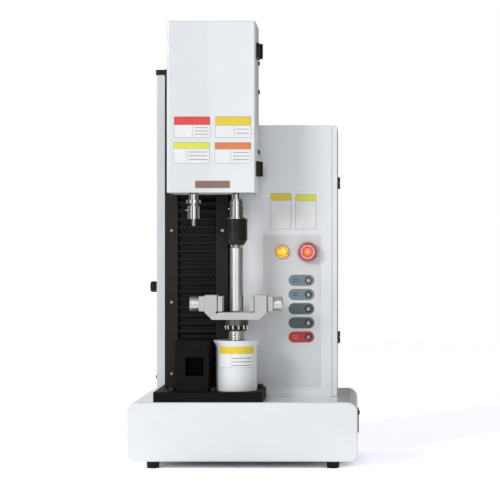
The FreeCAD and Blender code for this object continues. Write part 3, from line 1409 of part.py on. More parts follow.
def cabinet_hinge_frames():
    """Fixed halves of the side door hinges: a leaf behind the cabinet, a knuckle and the pin."""
    solids = []
    leaf_y = (CABINET_BACK, CABINET_BACK + DOOR_HINGE_THICKNESS)
    bridge_y = (CABINET_BACK + SLIDE_FIT, CABINET_BACK + DOOR_HINGE_THICKNESS)
    for z in door_hinge_spans():
        middle = (z[0] + z[1]) / 2
        knuckle_z = (z[0], middle - SLIDE_FIT / 2)
        leaf = block((CABINET_SIDE - DOOR_HINGE_LEAF, CABINET_SIDE), leaf_y, z)
        bridge = block((CABINET_SIDE - SHEET, DOOR_AXIS_X), bridge_y, knuckle_z)
        pin = rod(DOOR_HINGE_PIN, point(DOOR_AXIS_X, DOOR_AXIS_Y, z[0]), UP, DOOR_HINGE_HEIGHT)
        solids.append(joined(leaf, bridge, door_knuckle(knuckle_z), pin))
    return group(*solids)


def cabinet_hinge_leaves():
    """Moving halves of the side door hinges: a leaf on the door's face and a bored knuckle."""
    solids = []
    leaf_x = (CABINET_X[1], CABINET_X[1] + DOOR_HINGE_THICKNESS)
    for z in door_hinge_spans():
        middle = (z[0] + z[1]) / 2
        knuckle_z = (middle + SLIDE_FIT / 2, z[1])
        leaf = block(leaf_x, (CABINET_BACK - DOOR_HINGE_LEAF, CABINET_BACK), z)
        bridge = block(leaf_x, (CABINET_BACK - SHEET, DOOR_AXIS_Y), knuckle_z)
        foot = point(DOOR_AXIS_X, DOOR_AXIS_Y, z[0] - OVERRUN)
        bore = rod(DOOR_HINGE_PIN + RUN_FIT, foot, UP, DOOR_HINGE_HEIGHT + 2 * OVERRUN)
        solids.append(joined(leaf, bridge, door_knuckle(knuckle_z)).cut(bore))
    return group(*solids)


def panel_overlay():
    """Thin grey overlay that carries the controls."""
    solid = block(
        (PANEL_LEFT, PANEL_LEFT + PANEL_WIDTH),
        (PANEL_FRONT, CABINET_FRONT),
        (PANEL_BOTTOM, PANEL_BOTTOM + PANEL_HEIGHT),
    )
    return solid.cut(switch_holes((PANEL_FRONT - OVERRUN, CABINET_FRONT + OVERRUN)))


def switch_body(centre, bezel_radius, bezel_height, neck_radius, bore_radius, body):
    """Bezel, neck and body of one switch, bored from the front for its moving piece."""
    x, z = centre
    front = PANEL_FRONT - bezel_height
    inside = CABINET_FRONT + SHEET
    bezel = rod(bezel_radius, point(x, front, z), BACK, bezel_height)
    neck = rod(neck_radius, point(x, front, z), BACK, inside - front + OVERRUN)
    bore = rod(bore_radius, point(x, front - OVERRUN, z), BACK, SWITCH_BODY_LENGTH - 2)
    return joined(bezel, neck, body).cut(bore)


def switch_bodies():
    """Switches of the two large buttons and of the row of small ones."""
    inside = (CABINET_FRONT + SHEET, CABINET_FRONT + SHEET + SWITCH_BODY_LENGTH)
    solids = []
    large = [
        (START_CENTRE, START_BEZEL_RADIUS, START_BEZEL_HEIGHT, START_NECK_RADIUS, START_CAP_RADIUS),
        (ESTOP_CENTRE, ESTOP_COLLAR_RADIUS, ESTOP_COLLAR_HEIGHT, ESTOP_NECK_RADIUS, ESTOP_STEM_RADIUS),
    ]
    for centre, bezel, height, neck, moving in large:
        body = block(around(centre[0], LARGE_SWITCH_SIZE), inside, around(centre[1], LARGE_SWITCH_SIZE))
        solids.append(switch_body(centre, bezel, height, neck, moving + RUN_FIT, body))
    for centre in SMALL_CENTRES:
        start = point(centre[0], inside[0], centre[1])
        body = rod(BEZEL_RADIUS, start, BACK, SWITCH_BODY_LENGTH)
        bore = PLUNGER_RADIUS + RUN_FIT
        solids.append(switch_body(centre, BEZEL_RADIUS, BEZEL_HEIGHT, BEZEL_NECK_RADIUS, bore, body))
    return group(*solids)


def push_cap(centre, radius, bezel_height, proud, edge):
    """Round push cap that stands proud of its bezel and runs back into the switch."""
    start = point(centre[0], PANEL_FRONT - bezel_height - proud, centre[1])
    length = CAP_LENGTH + proud
    profile = [(0, 0), (radius - edge, 0), (radius, edge), (radius, length), (0, length)]
    return turned(profile, start, BACK)


def start_button():
    """Lit start button."""
    return push_cap(START_CENTRE, START_CAP_RADIUS, START_BEZEL_HEIGHT, START_CAP_PROUD, 1.0)


def panel_button(row):
    """Small metal push button of one row, counted from the top."""
    centre = SMALL_CENTRES[SMALL_BUTTON_COUNT - row]
    return push_cap(centre, PLUNGER_RADIUS, BEZEL_HEIGHT, PLUNGER_PROUD, 0.4)


def estop_stem():
    """Stem of the emergency stop, with the thinner pivot that its head turns on."""
    start = point(ESTOP_CENTRE[0], ESTOP_BACK - ESTOP_PIVOT_LENGTH, ESTOP_CENTRE[1])
    shoulder = ESTOP_PIVOT_LENGTH + SLIDE_FIT
    end = shoulder + ESTOP_GAP + ESTOP_TRAVEL + ESTOP_COLLAR_HEIGHT + CAP_LENGTH
    profile = [
        (0, 0),
        (ESTOP_PIVOT_RADIUS, 0),
        (ESTOP_PIVOT_RADIUS, shoulder),
        (ESTOP_STEM_RADIUS, shoulder),
        (ESTOP_STEM_RADIUS, end),
        (0, end),
    ]
    return turned(profile, start, BACK)


def estop_head():
    """Mushroom head of the emergency stop: skirt, sunk ring and raised middle disc."""
    start = point(ESTOP_CENTRE[0], ESTOP_BACK, ESTOP_CENTRE[1])
    bore = ESTOP_PIVOT_RADIUS + RUN_FIT
    bore_end = ESTOP_PIVOT_LENGTH + SLIDE_FIT
    ring = ESTOP_HEAD_HEIGHT - ESTOP_GAP
    profile = [
        (bore, 0),
        (ESTOP_HEAD_RADIUS, 0),
        (ESTOP_HEAD_RADIUS, ESTOP_HEAD_HEIGHT / 3),
        (ESTOP_FACE_RADIUS, ESTOP_HEAD_HEIGHT),
        (ESTOP_DISC_RADIUS + ESTOP_GAP, ESTOP_HEAD_HEIGHT),
        (ESTOP_DISC_RADIUS + ESTOP_GAP, ring),
        (ESTOP_DISC_RADIUS, ring),
        (ESTOP_DISC_RADIUS, ESTOP_HEAD_HEIGHT + ESTOP_GAP / 2),
        (0, ESTOP_HEAD_HEIGHT + ESTOP_GAP / 2),
        (0, bore_end),
        (bore, bore_end),
    ]
    return turned(profile, start, -BACK)


def control_board():
    """Control board on standoffs at the back of the cabinet, with its tallest parts."""
    wall = CABINET_BACK - SHEET
    front = wall - BOARD_STANDOFF - BOARD_THICKNESS
    left = CABINET_X[0] + BOARD_LEFT_OFFSET
    bottom = BASE_TOP + BOARD_RAISE
    board = block(
        (left, left + BOARD_WIDTH),
        (front, front + BOARD_THICKNESS),
        (bottom, bottom + BOARD_HEIGHT),
    )
    pieces = []
    for x in (left + BOARD_STANDOFF, left + BOARD_WIDTH - BOARD_STANDOFF):
        for z in (bottom + BOARD_STANDOFF, bottom + BOARD_HEIGHT - BOARD_STANDOFF):
            foot = point(x, front + BOARD_THICKNESS, z)
            pieces.append(rod(BOARD_STANDOFF / 2, foot, BACK, BOARD_STANDOFF))
    part = BOARD_WIDTH / 6
    for column_step in range(2):
        for row in range(3):
            x = around(left + (1.5 + 2.5 * column_step) * part, part)
            z = around(bottom + (row + 1) * BOARD_HEIGHT / 4, part)
            pieces.append(block(x, (front - part / 2, front), z))
    return joined(board, *pieces)


def power_supply():
    """Power supply on the floor of the cabinet, against its back wall."""
    left = CABINET_X[0] + BOARD_LEFT_OFFSET
    wall = CABINET_BACK - SHEET
    bottom = BASE_TOP + SHEET
    y = (wall - SUPPLY_DEPTH, wall)
    return block((left, left + SUPPLY_WIDTH), y, (bottom, bottom + SUPPLY_HEIGHT))


def frame_screws():
    """Screws of the module strips, and of the machine plate beside the fixture and the cabinet."""
    solids = []
    for x in (MODULE_X[0] + STRIP_SCREW_INSET, MODULE_X[1] - STRIP_SCREW_INSET):
        for place in strip_screw_rows(x):
            seat = place + BACK * COUNTERBORE_DEPTH
            solids.append(cap_screw(STRIP_SCREW_RADIUS, STRIP_SCREW_HEIGHT, seat, -BACK))
    beside = FIXTURE_WIDTH / 2 + PLATE_SCREW_RADIUS + SEAM
    front = BASE_FRONT + PLATE_SCREW_SETBACK
    right = RIGHT_X + PLATE_RIGHT_MARGIN - PLATE_SCREW_INSET
    back = CABINET_FRONT - 2 * PLATE_SCREW_INSET
    for x, y in ((LEFT_X - beside, front), (LEFT_X + beside, front), (right, back)):
        solids.append(cap_screw(PLATE_SCREW_RADIUS, PLATE_SCREW_HEIGHT, point(x, y, PLATE_TOP), UP))
    return group(*solids)


NODES = {
    "feet": feet,
    "base_chassis": base_chassis,
    "base_shell": base_shell,
    "base_plate": base_plate,
    "power_inlet": power_inlet,
    "power_rocker": power_rocker,
    "module_frame": module_frame,
    "module_strips": module_strips,
    "guide_rails": guide_rails,
    "guide_blocks": guide_blocks,
    "carriage": carriage,
    "lift_screw": lift_screw,
    "lift_motor": lift_motor,
    "bellows_lower": bellows_lower,
    "bellows_upper": bellows_upper,
    "column": column,
    "rear_cover": rear_cover,
    "column_cap": column_cap,
    "cable_gland": cable_gland,
    "sensor_housing": sensor_housing,
    "torque_sensor": torque_sensor,
    "vise_stem": vise_stem,
    "vise_body": vise_body,
    "screw_blocks": screw_blocks,
    "left_jaw": lambda: vise_jaw(-1),
    "right_jaw": lambda: vise_jaw(1),
    "left_knob": lambda: knob(-1),
    "right_knob": lambda: knob(1),
    "fixture_block": fixture_block,
    "test_rod": test_rod,
    "chuck_body": chuck_body,
    "chuck_sleeve": chuck_sleeve,
    "chuck_jaw_1": lambda: chuck_jaw(JAW_BEARINGS[0]),
    "chuck_jaw_2": lambda: chuck_jaw(JAW_BEARINGS[1]),
    "chuck_jaw_3": lambda: chuck_jaw(JAW_BEARINGS[2]),
    "right_spindle": right_spindle,
    "left_spindle": left_spindle,
    "hood_door": hood_door,
    "hood_shell": hood_shell,
    "hood_hinge_frames": hood_hinge_frames,
    "hood_hinge_leaves": hood_hinge_leaves,
    "head_bracket": head_bracket,
    "spindle_motors": spindle_motors,
    "cabinet_shell": cabinet_shell,
    "cabinet_door": cabinet_door,
    "cabinet_hinge_frames": cabinet_hinge_frames,
    "cabinet_hinge_leaves": cabinet_hinge_leaves,
    "panel_overlay": panel_overlay,
    "switch_bodies": switch_bodies,
    "start_button": start_button,
    "estop_stem": estop_stem,
    "estop_head": estop_head,
    "panel_button_1": lambda: panel_button(1),
    "panel_button_2": lambda: panel_button(2),
    "panel_button_3": lambda: panel_button(3),
    "panel_button_4": lambda: panel_button(4),
    "panel_button_5": lambda: panel_button(5),
    "control_board": control_board,
    "power_supply": power_supply,
    "frame_screws": frame_screws,
}

os.makedirs("parts", exist_ok=True)
for name, make in NODES.items():
    shape = make()
    shape.exportStep(f"parts/{name}.step")
    print(f"{name}: {len(shape.Solids)} solid(s), {shape.Volume / 1000:.1f} cm3")
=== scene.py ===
# %% [markdown]
# # A screw insertion force tester in Blender
#
# This lesson dresses a bench test machine. A motor lifts a white head on a linear module. Two
# spindles hang under the head, one with a driver bit and one with a drill chuck that holds a
# polished rod. Below them stand a small vise on a torque sensor and a black fixture block, and a
# control cabinet stands on the right. The CAD solids come first, and this file gives them
# finishes and adds the details that are too fine for a solid model.

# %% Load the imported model
import json
import math

import bmesh
import bpy
from mathutils import Matrix, Vector


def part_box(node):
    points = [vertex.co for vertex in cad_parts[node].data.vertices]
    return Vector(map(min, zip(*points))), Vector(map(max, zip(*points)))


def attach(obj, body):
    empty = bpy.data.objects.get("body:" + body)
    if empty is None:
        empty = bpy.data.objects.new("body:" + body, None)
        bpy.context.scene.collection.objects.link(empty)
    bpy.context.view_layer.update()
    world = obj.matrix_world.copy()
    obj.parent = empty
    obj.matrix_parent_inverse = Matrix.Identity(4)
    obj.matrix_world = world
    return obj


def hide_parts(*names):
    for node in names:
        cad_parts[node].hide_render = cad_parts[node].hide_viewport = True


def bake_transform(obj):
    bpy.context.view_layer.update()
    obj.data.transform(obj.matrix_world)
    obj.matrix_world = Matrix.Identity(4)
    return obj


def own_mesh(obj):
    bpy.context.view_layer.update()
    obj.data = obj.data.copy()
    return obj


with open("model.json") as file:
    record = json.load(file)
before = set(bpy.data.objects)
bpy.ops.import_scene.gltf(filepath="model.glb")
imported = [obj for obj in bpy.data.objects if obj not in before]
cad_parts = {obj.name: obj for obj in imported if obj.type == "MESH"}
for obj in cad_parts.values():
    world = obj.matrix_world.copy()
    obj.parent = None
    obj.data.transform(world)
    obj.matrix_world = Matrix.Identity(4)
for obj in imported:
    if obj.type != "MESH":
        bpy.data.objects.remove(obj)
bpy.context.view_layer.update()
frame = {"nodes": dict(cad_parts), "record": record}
scene = bpy.context.scene

# %% [markdown]
# Sizes below are written in millimetres, as on a workshop drawing, and are turned into Blender's
# metres in one place. Points are written as (x, y, z): x to the right, y to the back and z up,
# with the middle of the base on the table as the origin. Shader values are in metres, as shader
# nodes take them.

# %% Millimetres
MM = 0.001


def metres(x, y, z):
    """Point given in millimetres."""
    return Vector((x, y, z)) * MM


print("one millimetre is", MM)

# %% [markdown]
# ## The camera
#
# The photograph was taken from far away with a long lens, so upright edges stay upright and the
# sides hardly show. The machine stands left of the lens's axis, which is why a little of its
# right sides can be seen. A level camera with a sideways lens shift gives the same view without
# tilting anything.

# %% Camera
EYE = (219.8, -3580.0, 426.0)
LENS = 126.8
SENSOR = 36.0
SHIFT = (-0.212, -0.002)
VIEW_END = 50.0

camera_data = bpy.data.cameras.new("camera")
camera_data.sensor_width = SENSOR
camera_data.lens = LENS
camera_data.shift_x = SHIFT[0]
camera_data.shift_y = SHIFT[1]
camera_data.clip_end = VIEW_END
camera = bpy.data.objects.new("camera", camera_data)
camera.location = metres(*EYE)
camera.rotation_euler = (math.radians(90), 0, 0)
scene.collection.objects.link(camera)
scene.camera = camera
print("lens", LENS, "shift", SHIFT)

# %% [markdown]
# ## The studio
#
# The room, the floor and every finish are trees of nodes. Writing a tree takes the same steps each
# time, so a few helpers do them: one adds a node with its values, one links nodes, and one gives
# a colour ramp its stops.

# %% Helpers for node trees
def shade(value):
    """Grey or colour as four numbers."""
    return (value, value, value, 1.0) if isinstance(value, float) else (*value, 1.0)


def add(tree, kind, **values):
    """Node of a kind, with values for its sockets (by name, _ for a space) or its properties."""
    node = tree.nodes.new("ShaderNode" + kind)
    for label, value in values.items():
        socket = node.inputs.get(label.replace("_", " "))
        if socket is None:
            setattr(node, label, value)
        else:
            socket.default_value = value
    return node


def wire(tree, *links):
    """Links nodes. Each link is (node, output, node, input), by name or number."""
    for source, output, target, entry in links:
        tree.links.new(source.outputs[output], target.inputs[entry])


def fill_ramp(ramp, stops):
    """Gives a colour ramp its stops. Each is (position, grey or colour)."""
    elements = ramp.color_ramp.elements
    elements.remove(elements[1])
    elements[0].position = stops[0][0]
    for number, (position, colour) in enumerate(stops):
        stop = elements[0] if number == 0 else elements.new(position)
        stop.color = shade(colour)


print("node helpers ready")

# %% [markdown]
# Product photographs are taken on a white sweep. The world stands for the room: it is white where
# the camera looks at it, and it lights the machine more from the sides than from above. Polished
# steel needs something to mirror, so for reflections the room has bright walls with dark gaps
# between them, laid out by compass angle: 0 is where the camera stands, positive angles are on
# the right. A round bar then shows bright and dark stripes, as real chrome does.

# %% Room
scene.view_settings.view_transform = "Standard"
scene.view_settings.look = "None"

ROOM_LEFT = 0.74
ROOM_RIGHT = 0.50
ROOM_TOP = 0.32
MIRRORED_TOP = 0.45
MIRRORED_WALLS = (
    (-180, 0.05), (-177, 0.9), (-135, 0.8), (-118, 0.22), (-66, 0.2), (-50, 1.1), (-32, 1.1),
    (-20, 0.35), (-9, 0.12), (1, 0.1), (8, 0.9), (36, 0.9), (48, 0.08), (66, 0.07), (76, 0.22),
    (90, 0.06), (124, 0.05), (136, 0.8), (168, 0.8), (174, 0.26), (178, 0.26), (180, 0.05),
)

world = bpy.data.worlds.new("studio")
scene.world = world
world.use_nodes = True
room = world.node_tree
way = add(room, "TexCoord")
axes = add(room, "SeparateXYZ")
sides = add(room, "MapRange", From_Min=-0.3, From_Max=0.8, To_Min=ROOM_LEFT, To_Max=ROOM_RIGHT)
height = add(room, "MapRange", From_Min=0.05, From_Max=0.9)
plain = add(room, "Mix", B=ROOM_TOP)
wire(
    room,
    (way, "Generated", axes, "Vector"),
    (axes, "X", sides, "Value"),
    (axes, "Z", height, "Value"),
    (height, "Result", plain, "Factor"),
    (sides, "Result", plain, "A"),
)
print("room", ROOM_LEFT, ROOM_RIGHT, ROOM_TOP)

# %% [markdown]
# The mirrored room needs the compass angle of a reflected ray, which is the arc tangent of its
# sideways part and its part towards the camera. A colour ramp over that angle gives the walls.

# %% Walls to mirror
front = add(room, "Math", operation="MULTIPLY")
front.inputs[1].default_value = -1.0
compass = add(room, "Math", operation="ARCTAN2")
turn = add(room, "MapRange", From_Min=-math.pi, From_Max=math.pi)
walls = add(room, "ValToRGB")
fill_ramp(walls, [((angle + 180) / 360, level) for angle, level in MIRRORED_WALLS])
ceiling = add(room, "MapRange", From_Min=0.25, From_Max=0.7)
banded = add(room, "Mix", B=MIRRORED_TOP)
path = add(room, "LightPath")
mirrored = add(room, "Mix")
seen = add(room, "Mix", B=1.0)
background = room.nodes["Background"]
background.inputs["Color"].default_value = shade(1.0)
wire(
    room,
    (axes, "Y", front, 0),
    (axes, "X", compass, 0),
    (front, "Value", compass, 1),
    (compass, "Value", turn, "Value"),
    (turn, "Result", walls, "Fac"),
    (axes, "Z", ceiling, "Value"),
    (ceiling, "Result", banded, "Factor"),
    (walls, "Color", banded, "A"),
    (path, "Is Glossy Ray", mirrored, "Factor"),
    (plain, "Result", mirrored, "A"),
    (banded, "Result", mirrored, "B"),
    (path, "Is Camera Ray", seen, "Factor"),
    (mirrored, "Result", seen, "A"),
    (seen, "Result", background, "Strength"),
)
print("walls to mirror", len(MIRRORED_WALLS))

# %% [markdown]
# One big soft box stands high at the front left and is the key light, so the fronts are bright, the
# right sides are darker and the hood shades the cabinet beside it. A weaker one next to the
# camera softens those shadows.

# %% Soft boxes
LAMP_TARGET = (0, 0, 380)
SOFT_BOXES = (
    # name, place, size, power in watts
    ("front_left_box", (-1950, -2700, 1550), 900, 47),
    ("front_box", (250, -3600, 900), 1200, 9),
)
for name, place, size, power in SOFT_BOXES:
    box_data = bpy.data.lights.new(name, "AREA")
    box_data.shape = "SQUARE"
    box_data.size = size * MM
    box_data.energy = power
    soft_box = bpy.data.objects.new(name, box_data)
    soft_box.location = metres(*place)
    away = soft_box.location - metres(*LAMP_TARGET)
    soft_box.rotation_euler = away.to_track_quat("Z", "Y").to_euler()
    scene.collection.objects.link(soft_box)
print("lights", len(SOFT_BOXES))

# %% [markdown]
# The floor is a white table that is lit until it burns out, so it has no edge against the
# background, and only the dark shadow between the feet shows that the machine stands on
# something. One big square is enough for its shape.

# %% Floor
FLOOR_SIZE = 9000.0

floor_mesh = bmesh.new()
bmesh.ops.create_grid(floor_mesh, x_segments=1, y_segments=1, size=FLOOR_SIZE * MM / 2)
floor_data = bpy.data.meshes.new("floor")
floor_mesh.to_mesh(floor_data)
floor_mesh.free()
floor = bpy.data.objects.new("floor", floor_data)
scene.collection.objects.link(floor)
print("floor", FLOOR_SIZE * MM, "m wide")

# %% [markdown]
# Seen by the camera the table is far brighter than paper. For the light that bounces off it, it is
# as bright as paper, and a ring of it round the machine glows a little, as where lamps point at a
# table. That light lifts the lower part of the base's front.

# %% White table
PAPER = 0.9
BURNT_OUT = (2.3, 2.3, 2.42)
TABLE_GLOW = 0.6
GLOW_RING = ((0.21, 0.0), (0.32, 1.0), (0.5, 1.0), (1.0, 0.0))

white_table = bpy.data.materials.new("white_table")
white_table.use_nodes = True
tree = white_table.node_tree
paper = tree.nodes["Principled BSDF"]
paper.inputs["Base Color"].default_value = shade(PAPER)
paper.inputs["Roughness"].default_value = 1.0
paper.inputs["Emission Strength"].default_value = TABLE_GLOW
burnt_out = add(tree, "BsdfDiffuse", Color=shade(BURNT_OUT))
place = add(tree, "NewGeometry")
away = add(tree, "VectorMath", operation="LENGTH")
glow = add(tree, "ValToRGB")
fill_ramp(glow, GLOW_RING)
path = add(tree, "LightPath")
either = add(tree, "MixShader")
wire(
    tree,
    (place, "Position", away, 0),
    (away, "Value", glow, "Fac"),
    (glow, "Color", paper, "Emission Color"),
    (path, "Is Camera Ray", either, "Fac"),
    (paper, "BSDF", either, 1),
    (burnt_out, "BSDF", either, 2),
    (either, "Shader", tree.nodes["Material Output"], "Surface"),
)
floor_data.materials.append(white_table)
print("glow ends at", GLOW_RING[-1][0], "m")

# %% [markdown]
# ## Shared shader groups
#
# Several finishes use the same small effects: softened edges, a fine grain, and lines left by a
# lathe or a grinder. Each effect is built once as a node group with named inputs and outputs,
# and each material then sets its own values on it.

# %% A new node group
def new_group(name, inputs, outputs):
    """Shader node group. inputs are (name, socket type, value) and outputs (name, socket type)."""
    group = bpy.data.node_groups.new(name, "ShaderNodeTree")
    for label, kind, value in inputs:
        socket = group.interface.new_socket(label, in_out="INPUT", socket_type=kind)
        if value is not None:
            socket.default_value = value
    for label, kind in outputs:
        group.interface.new_socket(label, in_out="OUTPUT", socket_type=kind)
    start = group.nodes.new("NodeGroupInput")
    end = group.nodes.new("NodeGroupOutput")
    return group, start, end


print("group helper ready")

# %% [markdown]
# A real edge is never perfectly sharp: a folded sheet has a small radius and a milled block has a
# broken edge, and that thin rounded line catches the light. The Bevel node bends the normals near
# an edge as if it was rounded. The same group adds a fine bump, such as the orange peel of powder
# coat, so that each material needs one node for both. Its Edge output masks the edges, where the
# bent normal turns away from the real one.

# %% Soft edges with a fine grain
FLOAT = "NodeSocketFloat"
VECTOR = "NodeSocketVector"

soft_edge, start, end = new_group(
    "soft_edge",
    [("Radius", FLOAT, 6e-4), ("Grain scale", FLOAT, 900.0), ("Grain height", FLOAT, 2e-5)],
    [("Normal", VECTOR), ("Grain", FLOAT), ("Edge", FLOAT)],
)
place = add(soft_edge, "TexCoord")
grain = add(soft_edge, "TexNoise", Detail=2.0, Roughness=0.55)
round_edge = add(soft_edge, "Bevel", samples=4)
bump = add(soft_edge, "Bump", Strength=1.0)
surface = add(soft_edge, "NewGeometry")
turned_away = add(soft_edge, "VectorMath", operation="DOT_PRODUCT")
edge = add(soft_edge, "MapRange", From_Min=1.0, From_Max=0.8)
wire(
    soft_edge,
    (place, "Object", grain, "Vector"),
    (start, "Grain scale", grain, "Scale"),
    (start, "Radius", round_edge, "Radius"),
    (grain, "Fac", bump, "Height"),
    (start, "Grain height", bump, "Distance"),
    (round_edge, "Normal", bump, "Normal"),
    (round_edge, "Normal", turned_away, 0),
    (surface, "Normal", turned_away, 1),
    (turned_away, "Value", edge, "Value"),
    (bump, "Normal", end, "Normal"),
    (grain, "Fac", end, "Grain"),
    (edge, "Result", end, "Edge"),
)
print("group", soft_edge.name)

# %% [markdown]
# Machining leaves lines. On a turned part they run round the axis, so their height depends only
# on the place along the axis, and on a ground or brushed part they run one way. One noise that is
# stretched far across the lines gives both: the material chooses the direction with the Density
# vector, in lines per metre along x, y and z.

# %% Tool lines
tool_lines, start, end = new_group(
    "tool_lines",
    [("Density", VECTOR, (0.0, 0.0, 900.0)), ("Height", FLOAT, 1e-5), ("Normal", VECTOR, None)],
    [("Normal", VECTOR), ("Lines", FLOAT)],
)
place = add(tool_lines, "TexCoord")
stretch = add(tool_lines, "VectorMath", operation="MULTIPLY")
lines = add(tool_lines, "TexNoise", Scale=1.0, Detail=3.0, Roughness=0.7)
bump = add(tool_lines, "Bump", Strength=1.0)
wire(
    tool_lines,
    (place, "Object", stretch, 0),
    (start, "Density", stretch, 1),
    (stretch, "Vector", lines, "Vector"),
    (lines, "Fac", bump, "Height"),
    (start, "Height", bump, "Distance"),
    (start, "Normal", bump, "Normal"),
    (bump, "Normal", end, "Normal"),
    (lines, "Fac", end, "Lines"),
)
print("group", tool_lines.name)

# %% [markdown]
# Nothing is the same colour all over. Dust settles on faces that point up, and a finish is a
# little uneven over a hand's width. This group gives a slow cloud for the colour and a speckled
# mask of the upward faces.

# %% Clouds and dust
dust_cloud, start, end = new_group(
    "dust_cloud",
    [("Cloud scale", FLOAT, 14.0), ("Speck scale", FLOAT, 260.0)],
    [("Cloud", FLOAT), ("Dust", FLOAT)],
)
place = add(dust_cloud, "TexCoord")
cloud = add(dust_cloud, "TexNoise", Detail=3.0, Roughness=0.6)
specks = add(dust_cloud, "TexNoise", Detail=4.0, Roughness=0.7)
facing = add(dust_cloud, "NewGeometry")
split = add(dust_cloud, "SeparateXYZ")
upward = add(dust_cloud, "MapRange", From_Min=0.6, From_Max=1.0)
settled = add(dust_cloud, "Math", operation="MULTIPLY")
wire(
    dust_cloud,
    (place, "Object", cloud, "Vector"),
    (place, "Object", specks, "Vector"),
    (start, "Cloud scale", cloud, "Scale"),
    (start, "Speck scale", specks, "Scale"),
    (facing, "Normal", split, "Vector"),
    (split, "Z", upward, "Value"),
    (upward, "Result", settled, 0),
    (specks, "Fac", settled, 1),
    (cloud, "Fac", end, "Cloud"),
    (settled, "Value", end, "Dust"),
)
print("group", dust_cloud.name)

# %% [markdown]
# ## Finishes
#
# Each finish is a Principled shader with the groups wired in front of it. A recipe gives its two
# colours (the cloud moves between them), its roughness range (the grain moves between those), the
# edge colour, and the numbers that stay the same all over, which are set on the shader itself.
# Two helpers come first: one mixes colours and one moves a mask to another range.

# %% Colours and ranges
def mix_colours(tree, factor, first, second):
    """Colour between two, by a socket. Each colour is a value or a socket."""
    mix = add(tree, "Mix", data_type="RGBA")
    tree.links.new(factor, mix.inputs["Factor"])
    for label, colour in (("A", first), ("B", second)):
        socket = next(s for s in mix.inputs if s.name == label and s.type == "RGBA")
        if isinstance(colour, bpy.types.NodeSocket):
            tree.links.new(colour, socket)
        else:
            socket.default_value = shade(colour)
    return next(s for s in mix.outputs if s.type == "RGBA")


def ranged(tree, socket, low, high, source=(0.35, 0.65)):
    """Socket's value moved from one range to another."""
    node = add(
        tree, "MapRange", From_Min=source[0], From_Max=source[1], To_Min=low, To_Max=high
    )
    tree.links.new(socket, node.inputs["Value"])
    return node.outputs["Result"]


print("colour helpers ready")

# %% A finish from a recipe
DUST = 0.55
FINISHES = {}


def finish(
    name, colours, roughness, metal=0.0, edge=None, radius=6e-4, grain=(900.0, 2e-5),
    lines=None, dust=0.0, cloud=14.0, **constants,
):
    """Material of a finish. constants are sockets of the Principled shader, _ for a space.

    grain is (scale, height) and lines are (density, height), in metres.
    """
    material = bpy.data.materials.new(name)
    material.use_nodes = True
    tree = material.node_tree
    shader = tree.nodes["Principled BSDF"]
    shader.inputs["Metallic"].default_value = metal
    for label, value in constants.items():
        shader.inputs[label.replace("_", " ")].default_value = value
    edges = add(
        tree, "Group", node_tree=soft_edge,
        Radius=radius, Grain_scale=grain[0], Grain_height=grain[1],
    )
    clouds = add(tree, "Group", node_tree=dust_cloud, Cloud_scale=cloud)
    cloud_mask = ranged(tree, clouds.outputs["Cloud"], 0.0, 1.0)
    colour = mix_colours(tree, cloud_mask, colours[0], colours[1])
    # The edge colour is worn grey on the black finishes, and where it is darker than the body it is
    # painted shade along the edge.
    if edge is not None:
        edge_wear_and_shade = ranged(tree, edges.outputs["Edge"], 0.0, 0.8, (0.0, 1.0))
        colour = mix_colours(tree, edge_wear_and_shade, colour, edge)
    if dust:
        settled = ranged(tree, clouds.outputs["Dust"], 0.0, dust, (0.2, 0.8))
        colour = mix_colours(tree, settled, colour, DUST)
    normal = edges.outputs["Normal"]
    rough_source = edges.outputs["Grain"]
    if lines is not None:
        tool = add(tree, "Group", node_tree=tool_lines, Density=lines[0], Height=lines[1])
        tree.links.new(normal, tool.inputs["Normal"])
        normal = tool.outputs["Normal"]
        rough_source = tool.outputs["Lines"]
    tree.links.new(colour, shader.inputs["Base Color"])
    tree.links.new(ranged(tree, rough_source, *roughness), shader.inputs["Roughness"])
    tree.links.new(normal, shader.inputs["Normal"])
    FINISHES[name] = material
    return material


print("finish recipe ready")

# %% [markdown]
# The casings are folded steel sheet with a cool white powder coat. It is semi-gloss: broad soft
# highlights, with a faint orange peel about a millimetre across that breaks up the reflections.
# The column behind the module has a plain grey coat, and the bracket and motors are satin black.

# %% Painted steel
finish(
    "white_paint", ((0.745, 0.772, 0.805), (0.77, 0.792, 0.82)), (0.30, 0.38),
    radius=1.2e-3, grain=(650.0, 8e-6), Coat_Weight=0.8, Coat_Roughness=0.06,
)
finish("grey_paint", (0.30, 0.33), (0.42, 0.5), grain=(700.0, 2e-5), dust=0.08)
finish(
    "black_paint", (0.007, 0.011), (0.38, 0.48),
    edge=0.04, grain=(800.0, 2e-5), dust=0.04, Specular_IOR_Level=0.3,
)
print("paints", list(FINISHES))

# %% [markdown]
# The plate, the module and the fixture block are aluminium with a matt black anodise. It is thin
# and hard, so it keeps the milling's fine grain and goes slightly grey where an edge is touched.
# The plate and the fixture block are a deeper black than the module. The drill chuck is steel
# with a black oxide, which shows its turning lines.

# %% Black metal
finish(
    "black_anodise", (0.007, 0.011), (0.42, 0.55),
    edge=0.045, radius=5e-4, grain=(2200.0, 1.2e-5), dust=0.03, Specular_IOR_Level=0.25,
)
finish(
    "fixture_anodise", (0.002, 0.0035), (0.5, 0.62),
    edge=0.02, grain=(2200.0, 8e-6), Specular_IOR_Level=0.12,
)
finish(
    "black_oxide", (0.005, 0.009), (0.34, 0.46), edge=0.05, radius=3e-4,
    grain=(1600.0, 1e-5), lines=((30.0, 30.0, 1800.0), 8e-6), Specular_IOR_Level=0.3,
)
print("finishes", len(FINISHES))
